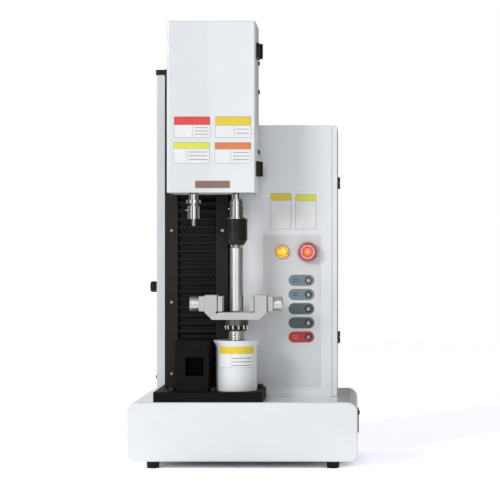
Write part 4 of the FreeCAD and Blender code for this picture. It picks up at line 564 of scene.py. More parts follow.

# %% [markdown]
# Bare metal takes its colour from what it mirrors, so its shader is fully metallic and its
# roughness decides how sharp that is. The vise is satin aluminium, its knobs are brighter steel,
# and the flange under it is a brownish steel whose colour is kept very dark as painted shade for
# the dark things it mirrors. The lines run round a turned part and along a ground one.

# %% Bare aluminium and steel
# edge=0.22 is darker than the aluminium: painted shade along the vise's edges and joints.
finish(
    "satin_aluminium", ((0.50, 0.50, 0.485), (0.56, 0.56, 0.545)), (0.36, 0.5), metal=1.0,
    edge=0.22, radius=9e-4, grain=(1500.0, 1e-5), lines=((60.0, 60.0, 1400.0), 6e-6),
)
finish(
    "ground_steel", ((0.52, 0.53, 0.545), (0.6, 0.605, 0.61)), (0.24, 0.4), metal=1.0,
    edge=0.8, radius=3e-4, grain=(1500.0, 6e-6), lines=((40.0, 40.0, 2200.0), 5e-6),
)
# edge=0.4 is darker than the steel: painted shade along the knobs' edges.
finish(
    "knurled_steel", ((0.70, 0.70, 0.68), (0.78, 0.78, 0.76)), (0.34, 0.42), metal=1.0,
    edge=0.4, radius=3e-4, grain=(1800.0, 4e-6), lines=((1500.0, 20.0, 20.0), 4e-6),
)
# Very dark base colour: painted shade and dark reflection on the stem and flange, over a brownish
# steel.
finish(
    "stem_steel", ((0.13, 0.125, 0.10), (0.2, 0.19, 0.155)), (0.2, 0.32), metal=1.0,
    edge=0.15, radius=5e-4, grain=(1200.0, 2e-6), lines=((10.0, 10.0, 1500.0), 2e-6),
)
print("finishes", len(FINISHES))

# %% [markdown]
# Polished metal is smooth enough to mirror the room's walls as stripes. The spindles have a darker
# chrome than the small parts, and the rod is finely ground, so its stripes are soft.

# %% Polished metal
FINE_GRAIN = (1200.0, 5e-7)
FINE_LINES = ((10.0, 10.0, 1800.0), 6e-7)
finish(
    "polished_chrome", ((0.80, 0.80, 0.79), (0.85, 0.85, 0.84)), (0.05, 0.12), metal=1.0,
    radius=3e-4, grain=FINE_GRAIN, lines=FINE_LINES,
)
finish(
    "spindle_chrome", ((0.44, 0.44, 0.43), (0.52, 0.52, 0.51)), (0.05, 0.1), metal=1.0,
    radius=3e-4, grain=FINE_GRAIN, lines=FINE_LINES,
)
finish(
    "rod_steel", ((0.63, 0.64, 0.65), (0.68, 0.69, 0.70)), (0.28, 0.34), metal=1.0,
    radius=3e-4, grain=FINE_GRAIN, lines=((10.0, 10.0, 1200.0), 6e-7),
)
print("finishes", len(FINISHES))

# %% [markdown]
# One CAD node holds all the frame's screws. Those on the plate are black and those on the module's
# strips are bright zinc. The strips' screws all stand higher, so the height splits the two.

# %% Screws with two finishes
SCREW_SPLIT = 157.0
ZINC = 0.36

screw_steel = finish("screw_steel", (0.008, 0.014), (0.2, 0.32), edge=0.2, radius=3e-4)
tree = screw_steel.node_tree
shader = tree.nodes["Principled BSDF"]
place = add(tree, "TexCoord")
axes = add(tree, "SeparateXYZ")
wire(tree, (place, "Object", axes, "Vector"))
higher = ranged(tree, axes.outputs["Z"], 0.0, 1.0, (SCREW_SPLIT * MM, (SCREW_SPLIT + 1) * MM))
black = shader.inputs["Base Color"].links[0].from_socket
tree.links.new(mix_colours(tree, higher, black, ZINC), shader.inputs["Base Color"])
tree.links.new(higher, shader.inputs["Metallic"])
print("screws split at", SCREW_SPLIT, "mm")

# %% [markdown]
# Plastics and rubber have no metal in them, and their edges keep the colour of the body. The film
# on the control panel is a satin printed polyester with a very fine emboss. The two lit buttons
# are translucent, so their bodies give off some of their own colour.

# %% Plastics and rubber
finish("rubber", (0.006, 0.010), (0.6, 0.78), grain=(1400.0, 4e-5), Specular_IOR_Level=0.25)
finish(
    "black_plastic", (0.004, 0.007), (0.4, 0.55), grain=(1900.0, 3e-5), Specular_IOR_Level=0.3
)
finish(
    "rocker_plastic", (0.004, 0.007), (0.2, 0.3), grain=(900.0, 4e-6), Specular_IOR_Level=0.4
)
finish(
    "panel_film", ((0.66, 0.685, 0.70), (0.70, 0.72, 0.74)), (0.34, 0.42),
    radius=3e-4, grain=(2600.0, 1e-5),
)
finish(
    "board_laminate", ((0.03, 0.16, 0.07), (0.04, 0.2, 0.09)), (0.22, 0.34),
    radius=2e-4, grain=(1500.0, 8e-6), cloud=60.0,
)
finish(
    "yellow_lens", ((0.98, 0.50, 0.02), (1.0, 0.58, 0.04)), (0.1, 0.2), grain=(700.0, 6e-6),
    Emission_Color=(1.0, 0.50, 0.03, 1.0), Emission_Strength=0.55, Coat_Weight=0.6,
)
finish(
    "red_plastic", ((0.36, 0.008, 0.02), (0.42, 0.012, 0.025)), (0.14, 0.24),
    grain=(700.0, 6e-6), Emission_Color=(1.0, 0.02, 0.04, 1.0), Emission_Strength=0.05,
    Coat_Weight=0.5,
)
print("finishes", len(FINISHES))

# %% [markdown]
# The record says which slot each CAD node takes its finish from, so the solids are dressed in one
# loop. A few nodes take a variant of their slot's finish, as told above. The meshes themselves
# aren't touched.

# %% Dress the CAD nodes
VARIANTS = {
    "test_rod": "rod_steel",
    "left_spindle": "spindle_chrome",
    "right_spindle": "spindle_chrome",
    "vise_stem": "stem_steel",
    "fixture_block": "fixture_anodise",
    "base_plate": "fixture_anodise",
    "frame_screws": "screw_steel",
}
dressed = 0
for row in frame["record"]["subparts"]:
    slot_name = VARIANTS.get(row["node"], row["material_slot"])
    if slot_name in FINISHES:
        mesh = frame["nodes"][row["node"]].data
        mesh.materials.clear()
        mesh.materials.append(FINISHES[slot_name])
        dressed += 1
print("dressed nodes", dressed)

# %% [markdown]
# ## Making pieces
#
# Every new piece starts as a bmesh. The first helpers bevel edges, give a flat shape its
# thickness, and turn a profile round an axis as a lathe does.

# %% Helpers for shapes
def bevel(bm, geom, offset, segments, affect="EDGES"):
    """Rounds edges or corners. offset is in millimetres."""
    bmesh.ops.bevel(
        bm, geom=geom, offset=offset * MM, segments=segments, profile=0.5, affect=affect,
        material=-1,
    )


def thicken(bm, rise):
    """Extrudes a flat shape along a vector, which gives it its thickness."""
    grown = bmesh.ops.extrude_face_region(bm, geom=list(bm.faces))
    top = [item for item in grown["geom"] if isinstance(item, bmesh.types.BMVert)]
    bmesh.ops.translate(bm, verts=top, vec=rise)


def turned(profile, steps=48):
    """Bmesh of a turned shape. profile is (radius, height) in millimetres, about the z axis."""
    bm = bmesh.new()
    points = [bm.verts.new((radius * MM, 0, height * MM)) for radius, height in profile]
    outline = [bm.edges.new(pair) for pair in zip(points, points[1:])]
    bmesh.ops.spin(
        bm, geom=points + outline, axis=(0, 0, 1), cent=(0, 0, 0), angle=2 * math.pi,
        steps=steps, use_merge=True,
    )
    bmesh.ops.remove_doubles(bm, verts=bm.verts, dist=0.01 * MM)
    return bm


print("shape helpers ready")

# %% [markdown]
# Shapes stand on the z = 0 plane. The next helpers turn one to its side of the machine, collect
# several in one mesh, and give the mesh its finishes and its body.

# %% Helpers for pieces
AIM = {
    "front": Matrix.Rotation(math.radians(90), 4, "X"),
    "right": Matrix.Rotation(math.radians(90), 4, "Y"),
    "left": Matrix.Rotation(math.radians(-90), 4, "Y"),
    "up": Matrix.Identity(4),
    "down": Matrix.Rotation(math.radians(180), 4, "X"),
}


def put(bm, aim, place):
    """Turns a shape's z axis to a side of the machine and moves it to a place in millimetres."""
    matrix = Matrix.Translation(metres(*place)) @ AIM[aim]
    bmesh.ops.transform(bm, matrix=matrix, verts=bm.verts)
    return bm


def gather(shapes):
    """One bmesh with all the shapes. Each is a bmesh and the index of its material."""
    whole = bmesh.new()
    for shape, index in shapes:
        for face in shape.faces:
            face.material_index = index
        part = bpy.data.meshes.new("part")
        shape.to_mesh(part)
        shape.free()
        whole.from_mesh(part)
        bpy.data.meshes.remove(part)
    return whole


def piece(name, bm, body, slot, *finishes, angle=35):
    """Object of a shape, riding on a body. finishes are names, or none for the slot's own."""
    bmesh.ops.recalc_face_normals(bm, faces=bm.faces)
    mesh = bpy.data.meshes.new(name)
    bm.to_mesh(mesh)
    bm.free()
    for label in finishes or (slot,):
        mesh.materials.append(FINISHES[label])
    mesh.shade_smooth()
    mesh.set_sharp_from_angle(angle=math.radians(angle))
    made = bpy.data.objects.new(name, mesh)
    scene.collection.objects.link(made)
    if body:
        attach(made, body)
    print(name, len(mesh.polygons), "faces on", body)
    return made


print("piece helpers ready")

# %% [markdown]
# ## The bellows
#
# A folded cloth cover hides the lift screw. Its folds open and close as the head moves. It is a
# strip of coated cloth with a crease every 8 mm, so the shape is a zigzag line that is swept
# sideways, given rounded creases with a bevel, and then a wall with solidify.

# %% Bellows cloth
finish(
    "bellows_cloth", (0.006, 0.010), (0.48, 0.66),
    radius=4e-4, grain=(2600.0, 3e-5), dust=0.05, Specular_IOR_Level=0.35,
)

MODULE_MIDDLE = -99.0
BELLOWS_FRONT = -49.5
BELLOWS_BACK = -38.6
BELLOWS_WIDTH = 74.6
BELLOWS_PITCH = 16.0
CREASE_RADIUS = 1.6
CLOTH_THICKNESS = 1.0


def bellows(name, low, high, body):
    """Folded cover between two heights."""
    folds = round((high - low) / BELLOWS_PITCH)
    step = (high - low) / folds / 2
    side = MODULE_MIDDLE - BELLOWS_WIDTH / 2
    bm = bmesh.new()
    corners = []
    for number in range(2 * folds + 1):
        depth = BELLOWS_FRONT if number % 2 else BELLOWS_BACK
        corners.append(bm.verts.new(metres(side, depth, low + number * step)))
    line = [bm.edges.new(pair) for pair in zip(corners, corners[1:])]
    swept = bmesh.ops.extrude_edge_only(bm, edges=line)
    moved = [item for item in swept["geom"] if isinstance(item, bmesh.types.BMVert)]
    bmesh.ops.translate(bm, verts=moved, vec=metres(BELLOWS_WIDTH, 0, 0))
    bevel(bm, [e for e in bm.edges if len(e.link_faces) == 2], CREASE_RADIUS, 3)
    flat_length = sum(face.calc_area() for face in bm.faces) / (BELLOWS_WIDTH * MM)
    bmesh.ops.recalc_face_normals(bm, faces=bm.faces)
    bmesh.ops.solidify(bm, geom=bm.faces, thickness=CLOTH_THICKNESS * MM)
    made = piece(name, bm, body, "bellows_cloth", angle=70)
    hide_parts(name.replace("_folds", ""))
    print(name, "folds", folds, "flat length", round(flat_length, 3))
    return made


print("bellows helper ready")

# %% [markdown]
# On the machine the lift stretches the lower cover and packs the upper one. Here both have even
# folds, the lower one from the base up to the head's neck and the upper one from the neck upwards.
# A small gap keeps each clear.

# %% Two covers
LOWER_END, NECK_BOTTOM = (corner.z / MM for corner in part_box("bellows_lower"))
NECK_TOP, UPPER_END = (corner.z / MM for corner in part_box("bellows_upper"))
COVER_GAP = 0.3
lower_cover = bellows(
    "bellows_lower_folds", LOWER_END + COVER_GAP, NECK_BOTTOM - COVER_GAP, None
)
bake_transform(lower_cover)
upper_cover = bellows(
    "bellows_upper_folds", NECK_TOP + COVER_GAP, UPPER_END - COVER_GAP, "base"
)
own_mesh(upper_cover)

# %% [markdown]
# ## Label plates
#
# The hood, the cabinet and the sensor housing carry printed films. Here they stay blank: a white
# film with a coloured band at the top, a fine grey frame, and mostly a dividing line and a few
# rule lines. First come the inks, each with a slightly paler second colour.

# %% Printed colours
LABEL_COLOURS = {
    "label_white": (0.80, 0.81, 0.83),
    "label_grey": (0.20, 0.21, 0.23),
    "label_red": (0.72, 0.055, 0.05),
    "label_yellow": (0.78, 0.58, 0.03),
    "label_lime": (0.72, 0.74, 0.06),
    "label_orange": (0.72, 0.21, 0.06),
    "label_blue": (0.16, 0.22, 0.26),
    "label_slate": (0.075, 0.105, 0.12),
    "label_crimson": (0.50, 0.03, 0.035),
    "label_ink": (0.075, 0.10, 0.125),
    "label_rose": (0.62, 0.16, 0.16),
}
for label, colour in LABEL_COLOURS.items():
    paler = tuple(min(1.0, channel * 1.06 + 0.004) for channel in colour)
    finish(label, (colour, paler), (0.3, 0.4), radius=2e-4, grain=(1600.0, 6e-6), cloud=40.0)
print("label colours", len(LABEL_COLOURS))

# %% [markdown]
# A film is a flat rectangle whose corners are rounded with a vertex bevel before it gets its
# thickness. The band and the lines are thinner films that lie on it, so each colour is real
# geometry.

# %% Film shapes
PRINT = 0.05


def film(x, z, front, thickness=0.25, corner=1.0):
    """Thin rounded film on a front face. x and z are spans, and front is the face it lies on."""
    bm = bmesh.new()
    made = bmesh.ops.create_grid(bm, x_segments=1, y_segments=1, size=0.5)
    bmesh.ops.scale(bm, verts=made["verts"], vec=metres(x[1] - x[0], z[1] - z[0], 1))
    bevel(bm, made["verts"], corner, 5, affect="VERTICES")
    thicken(bm, metres(0, 0, thickness))
    return put(bm, "front", ((x[0] + x[1]) / 2, front, (z[0] + z[1]) / 2))


FRAME_LINE = 0.5
BAND_LIFT = 0.35
RULE_HEIGHT = 1.2
RULE_MARGIN = 4


def label_plate(name, body, front, x, z, band_height, band, divider, rules):
    """Blank label with a coloured band, a frame line, and perhaps a divider and rule lines."""
    inside = (x[0] + FRAME_LINE, x[1] - FRAME_LINE)
    low = z[0] + FRAME_LINE
    high = z[1] - FRAME_LINE
    band_bottom = z[1] - band_height
    layer = front - BAND_LIFT
    shapes = [
        (film(x, z, front, corner=1.6), 1),
        (film(inside, (low, high), front - 0.1, corner=1.3), 0),
        (film(inside, (band_bottom, high), layer, 0.06, 1.2), 2),
        (film(inside, (band_bottom - FRAME_LINE, band_bottom), layer, PRINT, 0.1), 1),
    ]
    if divider:
        line = (divider, divider + FRAME_LINE)
        shapes.append((film(line, (low, band_bottom), layer, PRINT, 0.1), 1))
        rule_x = (divider + RULE_MARGIN, x[1] - RULE_MARGIN)
        gap = (band_bottom - z[0]) / (rules + 1)
        for rule in range(rules):
            height = z[0] + (rule + 1) * gap
            rule_z = (height, height + RULE_HEIGHT)
            shapes.append((film(rule_x, rule_z, layer, PRINT, 0.3), 1))
    return piece(name, gather(shapes), body, "white_paint", "label_white", "label_grey", band)


print("label helpers ready")

# %% Labels on the hood and the cabinet
HOOD_FRONT = -178.0
CABINET_FRONT = -37.0
LABELS = (
    # name, body, front, x, z, height and colour of the band, divider, rule lines
    ("hood_label_1", "hood_door", HOOD_FRONT, (-132, -62), (641, 682), 16, "label_red", -96, 3),
    ("hood_label_2", "hood_door", HOOD_FRONT, (-52, 17), (641, 682), 17, "label_yellow", -15, 2),
    ("hood_label_3", "hood_door", HOOD_FRONT, (-133, -63), (591, 632), 12, "label_lime", -107, 3),
    ("hood_label_4", "hood_door", HOOD_FRONT, (-53, 17), (591, 632), 13, "label_orange", -22, 3),
    ("cabinet_label_1", "base", CABINET_FRONT, (48, 90), (466, 538), 14, "label_yellow", 0, 0),
    ("cabinet_label_2", "base", CABINET_FRONT, (98, 140), (466, 536), 13, "label_lime", 0, 0),
)
for row in LABELS:
    label_plate(*row)

# %% [markdown]
# The sensor housing is round, so its film has to bend round it. A flat grid with enough columns is
# built first. Then each point is moved onto the cylinder: its distance from the middle becomes an
# angle, which keeps the film's width as it was cut.

# %% Curved label
HOUSING_CENTRE = (-15.0, -120.0)
HOUSING_RADIUS = 40.5
COLUMNS = 24
CURVED_FILMS = (
    # width, z, middle's angle to the right, lift, thickness, material
    (76, (195, 237), 5, 0.0, 0.25, 1),
    (75, (195.5, 236.5), 5, 0.25, 0.06, 0),
    (75, (222, 236.5), 5, 0.3, 0.06, 2),
    (0.6, (195.5, 222), -12, 0.3, 0.06, 1),
    (42, (213, 214.4), 22, 0.3, 0.06, 1),
    (42, (206, 207.4), 22, 0.3, 0.06, 1),
    (42, (199, 200.4), 22, 0.3, 0.06, 1),
)


def curved_film(width, z, turn, lift, thickness):
    """Thin film on the round housing. turn is the middle's angle to the right, in degrees."""
    bm = bmesh.new()
    made = bmesh.ops.create_grid(bm, x_segments=COLUMNS, y_segments=4, size=0.5)
    bmesh.ops.scale(bm, verts=made["verts"], vec=(width, z[1] - z[0], 1))
    thicken(bm, (0, 0, thickness))
    for vert in bm.verts:
        radius = HOUSING_RADIUS + lift + vert.co.z
        angle = vert.co.x / HOUSING_RADIUS + math.radians(turn)
        height = vert.co.y + (z[0] + z[1]) / 2
        vert.co = metres(
            HOUSING_CENTRE[0] + radius * math.sin(angle),
            HOUSING_CENTRE[1] - radius * math.cos(angle),
            height,
        )
    return bm


films = [(curved_film(*row[:5]), row[5]) for row in CURVED_FILMS]
piece(
    "housing_label", gather(films), "base", "white_paint",
    "label_white", "label_grey", "label_yellow",
)

# %% [markdown]
# The five metal buttons sit in printed fields with round ends, each with two plain rule lines. A
# field is the same film shape with a corner as large as half its height.

# %% Button fields
PANEL_FRONT = -37.8
FIELD_X = (84.0, 136.0)
FIELD_HEIGHT = 22.5
FIELD_PRINT = 0.12
RULE_X = (92.5, 103.5)
RULE_LOWS = (-3.6, 1.2)
RULE_SPAN = 2.2
FIELDS = {
    363.0: "label_blue",
    334.5: "label_blue",
    306.0: "label_slate",
    277.5: "label_slate",
    249.0: "label_crimson",
}
fields = []
for number, (height, colour) in enumerate(FIELDS.items()):
    span = (height - FIELD_HEIGHT / 2, height + FIELD_HEIGHT / 2)
    fields.append((film(FIELD_X, span, PANEL_FRONT, FIELD_PRINT, FIELD_HEIGHT / 2 - 0.1), number))
    rule_colour = len(FIELDS) + (colour == "label_crimson")
    for low in RULE_LOWS:
        span = (height + low, height + low + RULE_SPAN)
        fields.append((film(RULE_X, span, PANEL_FRONT - FIELD_PRINT, PRINT, 0.4), rule_colour))
piece(
    "button_fields", gather(fields), "base", "panel_film",
    *FIELDS.values(), "label_ink", "label_rose",
)

# %% [markdown]
# The hood carries a bare plate of brushed, coppery metal. It is a thick film with a slightly raised
# field inside its rim.

# %% Bare plate
finish(
    "badge_metal", ((0.24, 0.15, 0.125), (0.31, 0.205, 0.18)), (0.3, 0.45), metal=0.8,
    edge=0.5, radius=3e-4, lines=((60.0, 60.0, 1800.0), 6e-6),
)
PLATE_THICKNESS = 0.8
plate = film((-91, -24), (543.7, 557.6), HOOD_FRONT, PLATE_THICKNESS, 0.8)
field = film((-89.8, -25.2), (544.9, 556.4), HOOD_FRONT - PLATE_THICKNESS, 0.15, 0.5)
piece(
    "badge_plate", gather([(plate, 0), (field, 0)]), "hood_door", "ground_steel", "badge_metal"
)

# %% [markdown]
# ## Cap screws
#
# A socket cap screw is a cylinder with a chamfered rim and a hexagonal pit. The rim comes from a
# bevel. For the pit the top face is inset, the inner ring of points is moved onto a hexagon, and
# the middle is pushed down.

# %% Cap screw
SIDES = 24


def cap_screw(radius, height, socket, depth):
    """Cap screw head that stands on the z = 0 plane, with a hexagon socket."""
    bm = bmesh.new()
    bmesh.ops.create_circle(bm, cap_ends=True, segments=SIDES, radius=radius * MM)
    thicken(bm, metres(0, 0, height))
    lid = max(bm.faces, key=lambda face: face.calc_center_median().z)
    bmesh.ops.inset_individual(bm, faces=[lid], thickness=(radius - socket) * MM)
    for vert in lid.verts:
        angle = math.atan2(vert.co.y, vert.co.x)
        offset = (angle % math.radians(60)) - math.radians(30)
        reach = socket * math.cos(math.radians(30)) / math.cos(offset) * MM
        vert.co.x = reach * math.cos(angle)
        vert.co.y = reach * math.sin(angle)
    pit = bmesh.ops.extrude_discrete_faces(bm, faces=[lid])["faces"][0]
    bmesh.ops.translate(bm, verts=pit.verts, vec=metres(0, 0, -depth))

    def on_rim(vert):
        away = math.hypot(vert.co.x, vert.co.y)
        return abs(vert.co.z - height * MM) < 1e-7 and away > (radius - 0.01) * MM

    bevel(bm, [e for e in bm.edges if all(on_rim(v) for v in e.verts)], 0.12 * radius, 2)
    bmesh.ops.remove_doubles(bm, verts=bm.verts, dist=0.001 * MM)
    return bm


print("screw helper ready")

# %% [markdown]
# Three small screws hold the hood's fixed half on its right side, and one holds the rear cover's
# foot on its left side.

# %% Hood and cover screws
HOOD_SIDE = 25.5
HOOD_SCREW_DEPTH = -66
HOOD_SCREW_HEIGHTS = (796, 739, 619)
heads = [
    (put(cap_screw(4.2, 2.4, 2.3, 1.4), "right", (HOOD_SIDE, HOOD_SCREW_DEPTH, height)), 0)
    for height in HOOD_SCREW_HEIGHTS
]
piece("hood_screws", gather(heads), "crosshead", "ground_steel", "black_oxide")

COVER_SCREW = (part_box("rear_cover")[0].x / MM, 167, 154)
cover_screw = put(cap_screw(4.0, 3.0, 2.2, 1.6), "left", COVER_SCREW)
piece("rear_cover_screw", cover_screw, "base", "ground_steel", "black_oxide")

# %% [markdown]
# A ring of long screws hangs under the vise's flange, round a black collar that paints the shade
# under the flange. The collar is a thin turned sleeve on the stem.

# %% Flange screws and shade collar
FLANGE_BOTTOM = 276.5
FLANGE_SCREWS = 12
FLANGE_SCREW_CIRCLE = 21.4
SHADE_COLLAR_DROP = 10
SHADE_COLLAR = ((19.52, 0), (19.52, 9.8), (20.0, 9.8), (20.0, 0.3), (19.7, 0), (19.52, 0))
heads = []
for number in range(FLANGE_SCREWS):
    turn = 2 * math.pi * (number + 0.5) / FLANGE_SCREWS
    place = (
        HOUSING_CENTRE[0] + FLANGE_SCREW_CIRCLE * math.cos(turn),
        HOUSING_CENTRE[1] + FLANGE_SCREW_CIRCLE * math.sin(turn),
        FLANGE_BOTTOM,
    )
    heads.append((put(cap_screw(1.9, 7.5, 1.1, 1.2), "down", place), 0))
piece("flange_screws", gather(heads), "base", "ground_steel", "polished_chrome")
shade_collar = put(turned(SHADE_COLLAR), "up", (*HOUSING_CENTRE, FLANGE_BOTTOM - SHADE_COLLAR_DROP))
piece("flange_collar", shade_collar, "base", "black_oxide")

# %% [markdown]
# ## Thread on the stem
#
# The stem between the housing and the vise is threaded. Turned rings with the thread's pitch look
# the same from a metre away and have far fewer faces than a helix.

# %% Stem thread
STEM_BOTTOM = 247.8
STEM_TOP = 265.8
STEM_RADIUS = 16.0
THREAD_PITCH = 1.5
CORE = STEM_RADIUS - 0.3
ROOT = STEM_RADIUS + 0.05
CREST = STEM_RADIUS + 0.65
profile = [(CORE, STEM_BOTTOM)]
for turn in range(int((STEM_TOP - STEM_BOTTOM) / THREAD_PITCH)):
    low = STEM_BOTTOM + turn * THREAD_PITCH
    profile.append((ROOT, low))
    profile.append((CREST, low + 0.45 * THREAD_PITCH))
    profile.append((CREST, low + 0.6 * THREAD_PITCH))
profile += [(ROOT, STEM_TOP), (CORE, STEM_TOP), (CORE, STEM_BOTTOM)]
thread = put(turned(profile, 64), "up", (*HOUSING_CENTRE, 0))
piece("stem_thread", thread, "base", "polished_chrome", angle=25)

# %% [markdown]
# ## Knob grips
#
# The two vise knobs have fine grooves turned round them, so that fingers grip them. A groove is a
# step down and up in the profile, so a short loop writes the profile and one spin makes the grip.

# %% Grooved grips
GRIP_RADIUS = 14.6
GRIP_BORE = GRIP_RADIUS - 1.0
GRIP_LENGTH = 12.0
GRIP_INSET = 2.0
GROOVE_PITCH = 1.5
GROOVE_RADIUS = GRIP_RADIUS - 0.15
KNOB_AXIS = (-120, 318.7)


def grooved_grip():
    """Turned sleeve with fine grooves round the z axis, from z = 0 up."""
    profile = [(GRIP_BORE, 0.0), (GRIP_RADIUS - 0.4, 0.0)]
    for groove in range(int(GRIP_LENGTH / GROOVE_PITCH)):
        low = groove * GROOVE_PITCH
        profile.append((GRIP_RADIUS, low + 0.3))
        profile.append((GRIP_RADIUS, low + GROOVE_PITCH - 0.4))
        profile.append((GROOVE_RADIUS, low + GROOVE_PITCH - 0.2))
        profile.append((GROOVE_RADIUS, low + GROOVE_PITCH))
    profile += [(GRIP_BORE, GRIP_LENGTH), (GRIP_BORE, 0.0)]
    return turned(profile, 64)


for side, corner, way in (("left", 0, 1), ("right", 1, -1)):
    knob_end = (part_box(side + "_knob")[corner] / MM).x
    grip_start = knob_end + way * (GRIP_LENGTH + GRIP_INSET)
    grip = put(grooved_grip(), side, (grip_start, *KNOB_AXIS))
    piece(side + "_knob_grip", grip, side + "_knob", "knurled_steel", angle=20)

# %% [markdown]
# ## Side strip
#
# The module's left side is closed by a thin black strip. It shows as a dark line between the hood
# and the white cover behind. A box is scaled from a unit cube and its edges are bevelled.

# %% Side strip
STRIP_THICKNESS = 2.6
STRIP_EDGE = 0.5


def strip(x, y, z, edge):
    """Bar between three spans in millimetres, with bevelled edges."""
    bm = bmesh.new()
    bmesh.ops.create_cube(bm, size=1)
    size = metres(x[1] - x[0], y[1] - y[0], z[1] - z[0])
    middle = metres((x[0] + x[1]) / 2, (y[0] + y[1]) / 2, (z[0] + z[1]) / 2)
    bmesh.ops.scale(bm, verts=bm.verts, vec=size)
    bmesh.ops.translate(bm, verts=bm.verts, vec=middle)
    bevel(bm, bm.edges[:], edge, 2)
    return bm


low, high = (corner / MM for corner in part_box("module_frame"))
side_strip = strip(
    (low.x - STRIP_THICKNESS, low.x),
    (low.y + STRIP_EDGE, high.y - STRIP_EDGE),
    (low.z, high.z),
    STRIP_EDGE,
)
piece("module_side_strip", side_strip, "base", "black_anodise")

# %% [markdown]
# Thin black strips paint the shade in the joints of the vise: one in front of each jaw, where it
# meets its arm, and one in front of the right screw block. They are the same kind of bar.

# %% Vise shade strips
SHADE_STRIP_HEIGHTS = (303.7, 333.7)
SHADE_STRIPS = (
    ((-51.5, -50.4), (-144.4, -143.05)),
    ((20.4, 21.5), (-144.4, -143.05)),
    ((45.8, 46.9), (-144.4, -141.05)),
)
shade_strips = [(strip(x, y, SHADE_STRIP_HEIGHTS, 0.2), 0) for x, y in SHADE_STRIPS]
piece("vise_seals", gather(shade_strips), "base", "rubber")

# %% [markdown]
# ## Metal push buttons
#
# Each small button has a stepped, polished plunger inside a black ring, which is painted shade for
# the gap round the plunger. The steep steps mirror dark parts of the room and the flat ones bright
# parts, which makes such a button sparkle. One profile gives the face, which moves with its
# plunger, and a second one the painted shade ring on the bezel.

# %% Button faces and shade rings
finish(
    "button_chrome", ((0.42, 0.43, 0.44), (0.5, 0.51, 0.52)), (0.1, 0.16), metal=1.0,
    radius=2e-4, grain=(1500.0, 1e-6),
)
BEZEL_FRONT = -39.3
FACE = (
    (0, 0.1), (0.9, 0.15), (1.7, 0.75), (2.3, 0.8), (2.9, 0.3), (3.5, 0.3), (4.1, 1.0),
    (4.4, 0.8), (4.4, 0), (0, 0), (0, 0.1),
)
GAP_SHADE_RING = ((4.75, 0), (4.75, 0.2), (6.95, 0.2), (6.95, 0), (4.75, 0))

gap_shade_rings = []
for number in range(1, len(FIELDS) + 1):
    button = f"panel_button_{number}"
    low, high = (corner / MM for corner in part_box(button))
    x = (low.x + high.x) / 2
    z = (low.z + high.z) / 2
    face = put(turned(FACE, 32), "front", (x, low.y, z))
    piece(button + "_face", face, button, "polished_chrome", "button_chrome", angle=25)
    gap_shade_rings.append((put(turned(GAP_SHADE_RING, 32), "front", (x, BEZEL_FRONT, z)), 0))
piece("button_rings", gather(gap_shade_rings), "base", "black_plastic")

# %% [markdown]
# ## Lit buttons
#
# The start button's lens is a shallow dome, and the stop button's face has a raised rim, a pale
# ring, which is a painted highlight, and a lit disc. Both are turned shapes on top of the CAD caps.
# A lamp shines through them, so the middle is the hottest. The colours go outwards in steps, and a
# colour ramp over the distance from the middle gives both the body colour and the glow. A little
# noise in the distance makes the lens uneven, as a moulded prism lens looks when its lamp is on.

# %% A glowing lens
def glowing(name, centre, reach, steps, power, uneven):
    """Lens lit from behind. steps are (distance from the middle, colour, glow), in millimetres."""
    material = finish(
        name, (0.5, 0.5), (0.08, 0.16), grain=(500.0, 1e-5),
        Coat_Weight=0.6, Coat_Roughness=0.05, Emission_Strength=power,
    )
    tree = material.node_tree
    shader = tree.nodes["Principled BSDF"]
    place = add(tree, "TexCoord")
    away = add(tree, "VectorMath", operation="DISTANCE")
    away.inputs[1].default_value = metres(*centre)
    prisms = add(tree, "TexNoise", Scale=420.0)
    moved = add(tree, "Math", operation="ADD")
    wire(
        tree,
        (place, "Object", away, 0),
        (place, "Object", prisms, "Vector"),
        (away, "Value", moved, 0),
    )
    shift = ranged(tree, prisms.outputs["Fac"], -uneven * MM, uneven * MM)
    tree.links.new(shift, moved.inputs[1])
    spread = ranged(tree, moved.outputs["Value"], 0.0, 1.0, (0.0, reach * MM))
    for target, column in (("Base Color", 1), ("Emission Color", 2)):
        ramp = add(tree, "ValToRGB")
        fill_ramp(ramp, [(step[0] / reach, step[column]) for step in steps])
        tree.links.new(spread, ramp.inputs["Fac"])
        tree.links.new(ramp.outputs["Color"], shader.inputs[target])
    return material


print("lens helper ready")

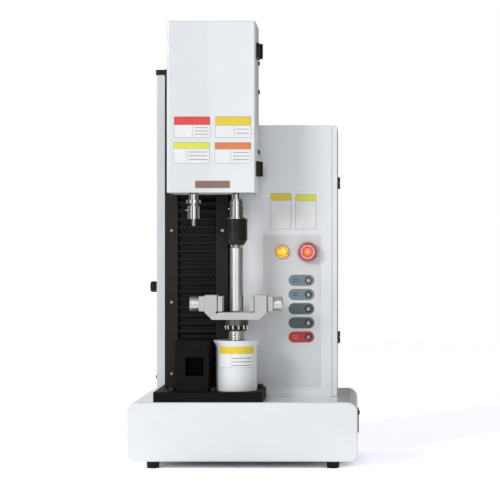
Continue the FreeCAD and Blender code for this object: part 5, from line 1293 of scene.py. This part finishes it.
# %% Start button
AMBER = (0.95, 0.45, 0.02)
START_STEPS = (
    (0.0, AMBER, (1.0, 0.72, 0.06)),
    (4.0, AMBER, (1.0, 0.52, 0.02)),
    (8.0, AMBER, (0.8, 0.3, 0.01)),
    (10.5, (0.6, 0.22, 0.01), (0.3, 0.09, 0.0)),
)
START_PLACE = (72.0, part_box("start_button")[0].y / MM, 420.0)
LENS_PROFILE = (
    (0, 1.4), (4, 1.3), (8, 0.9), (10.2, 0.5), (11.2, 0.0), (11.2, -1.0), (0, -1.0), (0, 1.4),
)
glowing("start_glow", START_PLACE, 12.0, START_STEPS, 0.75, 3.2)
start_lens = put(turned(LENS_PROFILE), "front", START_PLACE)
piece("start_lens", start_lens, "start_button", "yellow_lens", "start_glow")

finish(
    "amber_metal", ((0.42, 0.21, 0.03), (0.5, 0.27, 0.05)), (0.2, 0.3), metal=0.6, radius=3e-4
)
BEZEL = ((12.3, 0), (12.4, 0.7), (13.2, 0.9), (14.2, 0.5), (14.3, 0), (12.3, 0))
BEZEL_HEIGHT = 2.9
start_ring = put(
    turned(BEZEL), "front", (START_PLACE[0], PANEL_FRONT - BEZEL_HEIGHT, START_PLACE[2])
)
piece("start_ring", start_ring, "base", "polished_chrome", "amber_metal")

# %% Emergency stop
CRIMSON = (0.42, 0.012, 0.03)
# The pale ring is a painted highlight on the stop button's face.
PALE_HIGHLIGHT = (0.75, 0.38, 0.38)
STOP_STEPS = (
    (0.0, (0.9, 0.3, 0.1), (1.0, 0.60, 0.16)),
    (4.5, (0.8, 0.12, 0.04), (0.85, 0.18, 0.05)),
    (8.8, (0.6, 0.03, 0.03), (0.55, 0.03, 0.015)),
    (10.2, (0.22, 0.005, 0.01), (0.06, 0.0, 0.0)),
    (11.6, PALE_HIGHLIGHT, (0.2, 0.07, 0.07)),
    (13.6, PALE_HIGHLIGHT, (0.12, 0.03, 0.03)),
    (14.8, CRIMSON, (0.06, 0.0, 0.005)),
    (18.0, (0.2, 0.005, 0.02), (0.02, 0.0, 0.005)),
)
STOP_PLACE = (122.7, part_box("estop_head")[0].y / MM, 420.0)
STOP_PROFILE = (
    (0, 0.9), (6, 0.8), (9.2, 0.5), (10.0, 0.1), (10.8, 0.1), (11.6, 0.5), (14.6, 0.6),
    (15.6, 0.2), (16.2, 0.2), (16.6, -0.4), (0, -0.4), (0, 0.9),
)
glowing("stop_glow", STOP_PLACE, 19.0, STOP_STEPS, 0.7, 1.6)
stop_face = put(turned(STOP_PROFILE), "front", STOP_PLACE)
piece("estop_face", stop_face, "estop_head", "red_plastic", "stop_glow", angle=50)
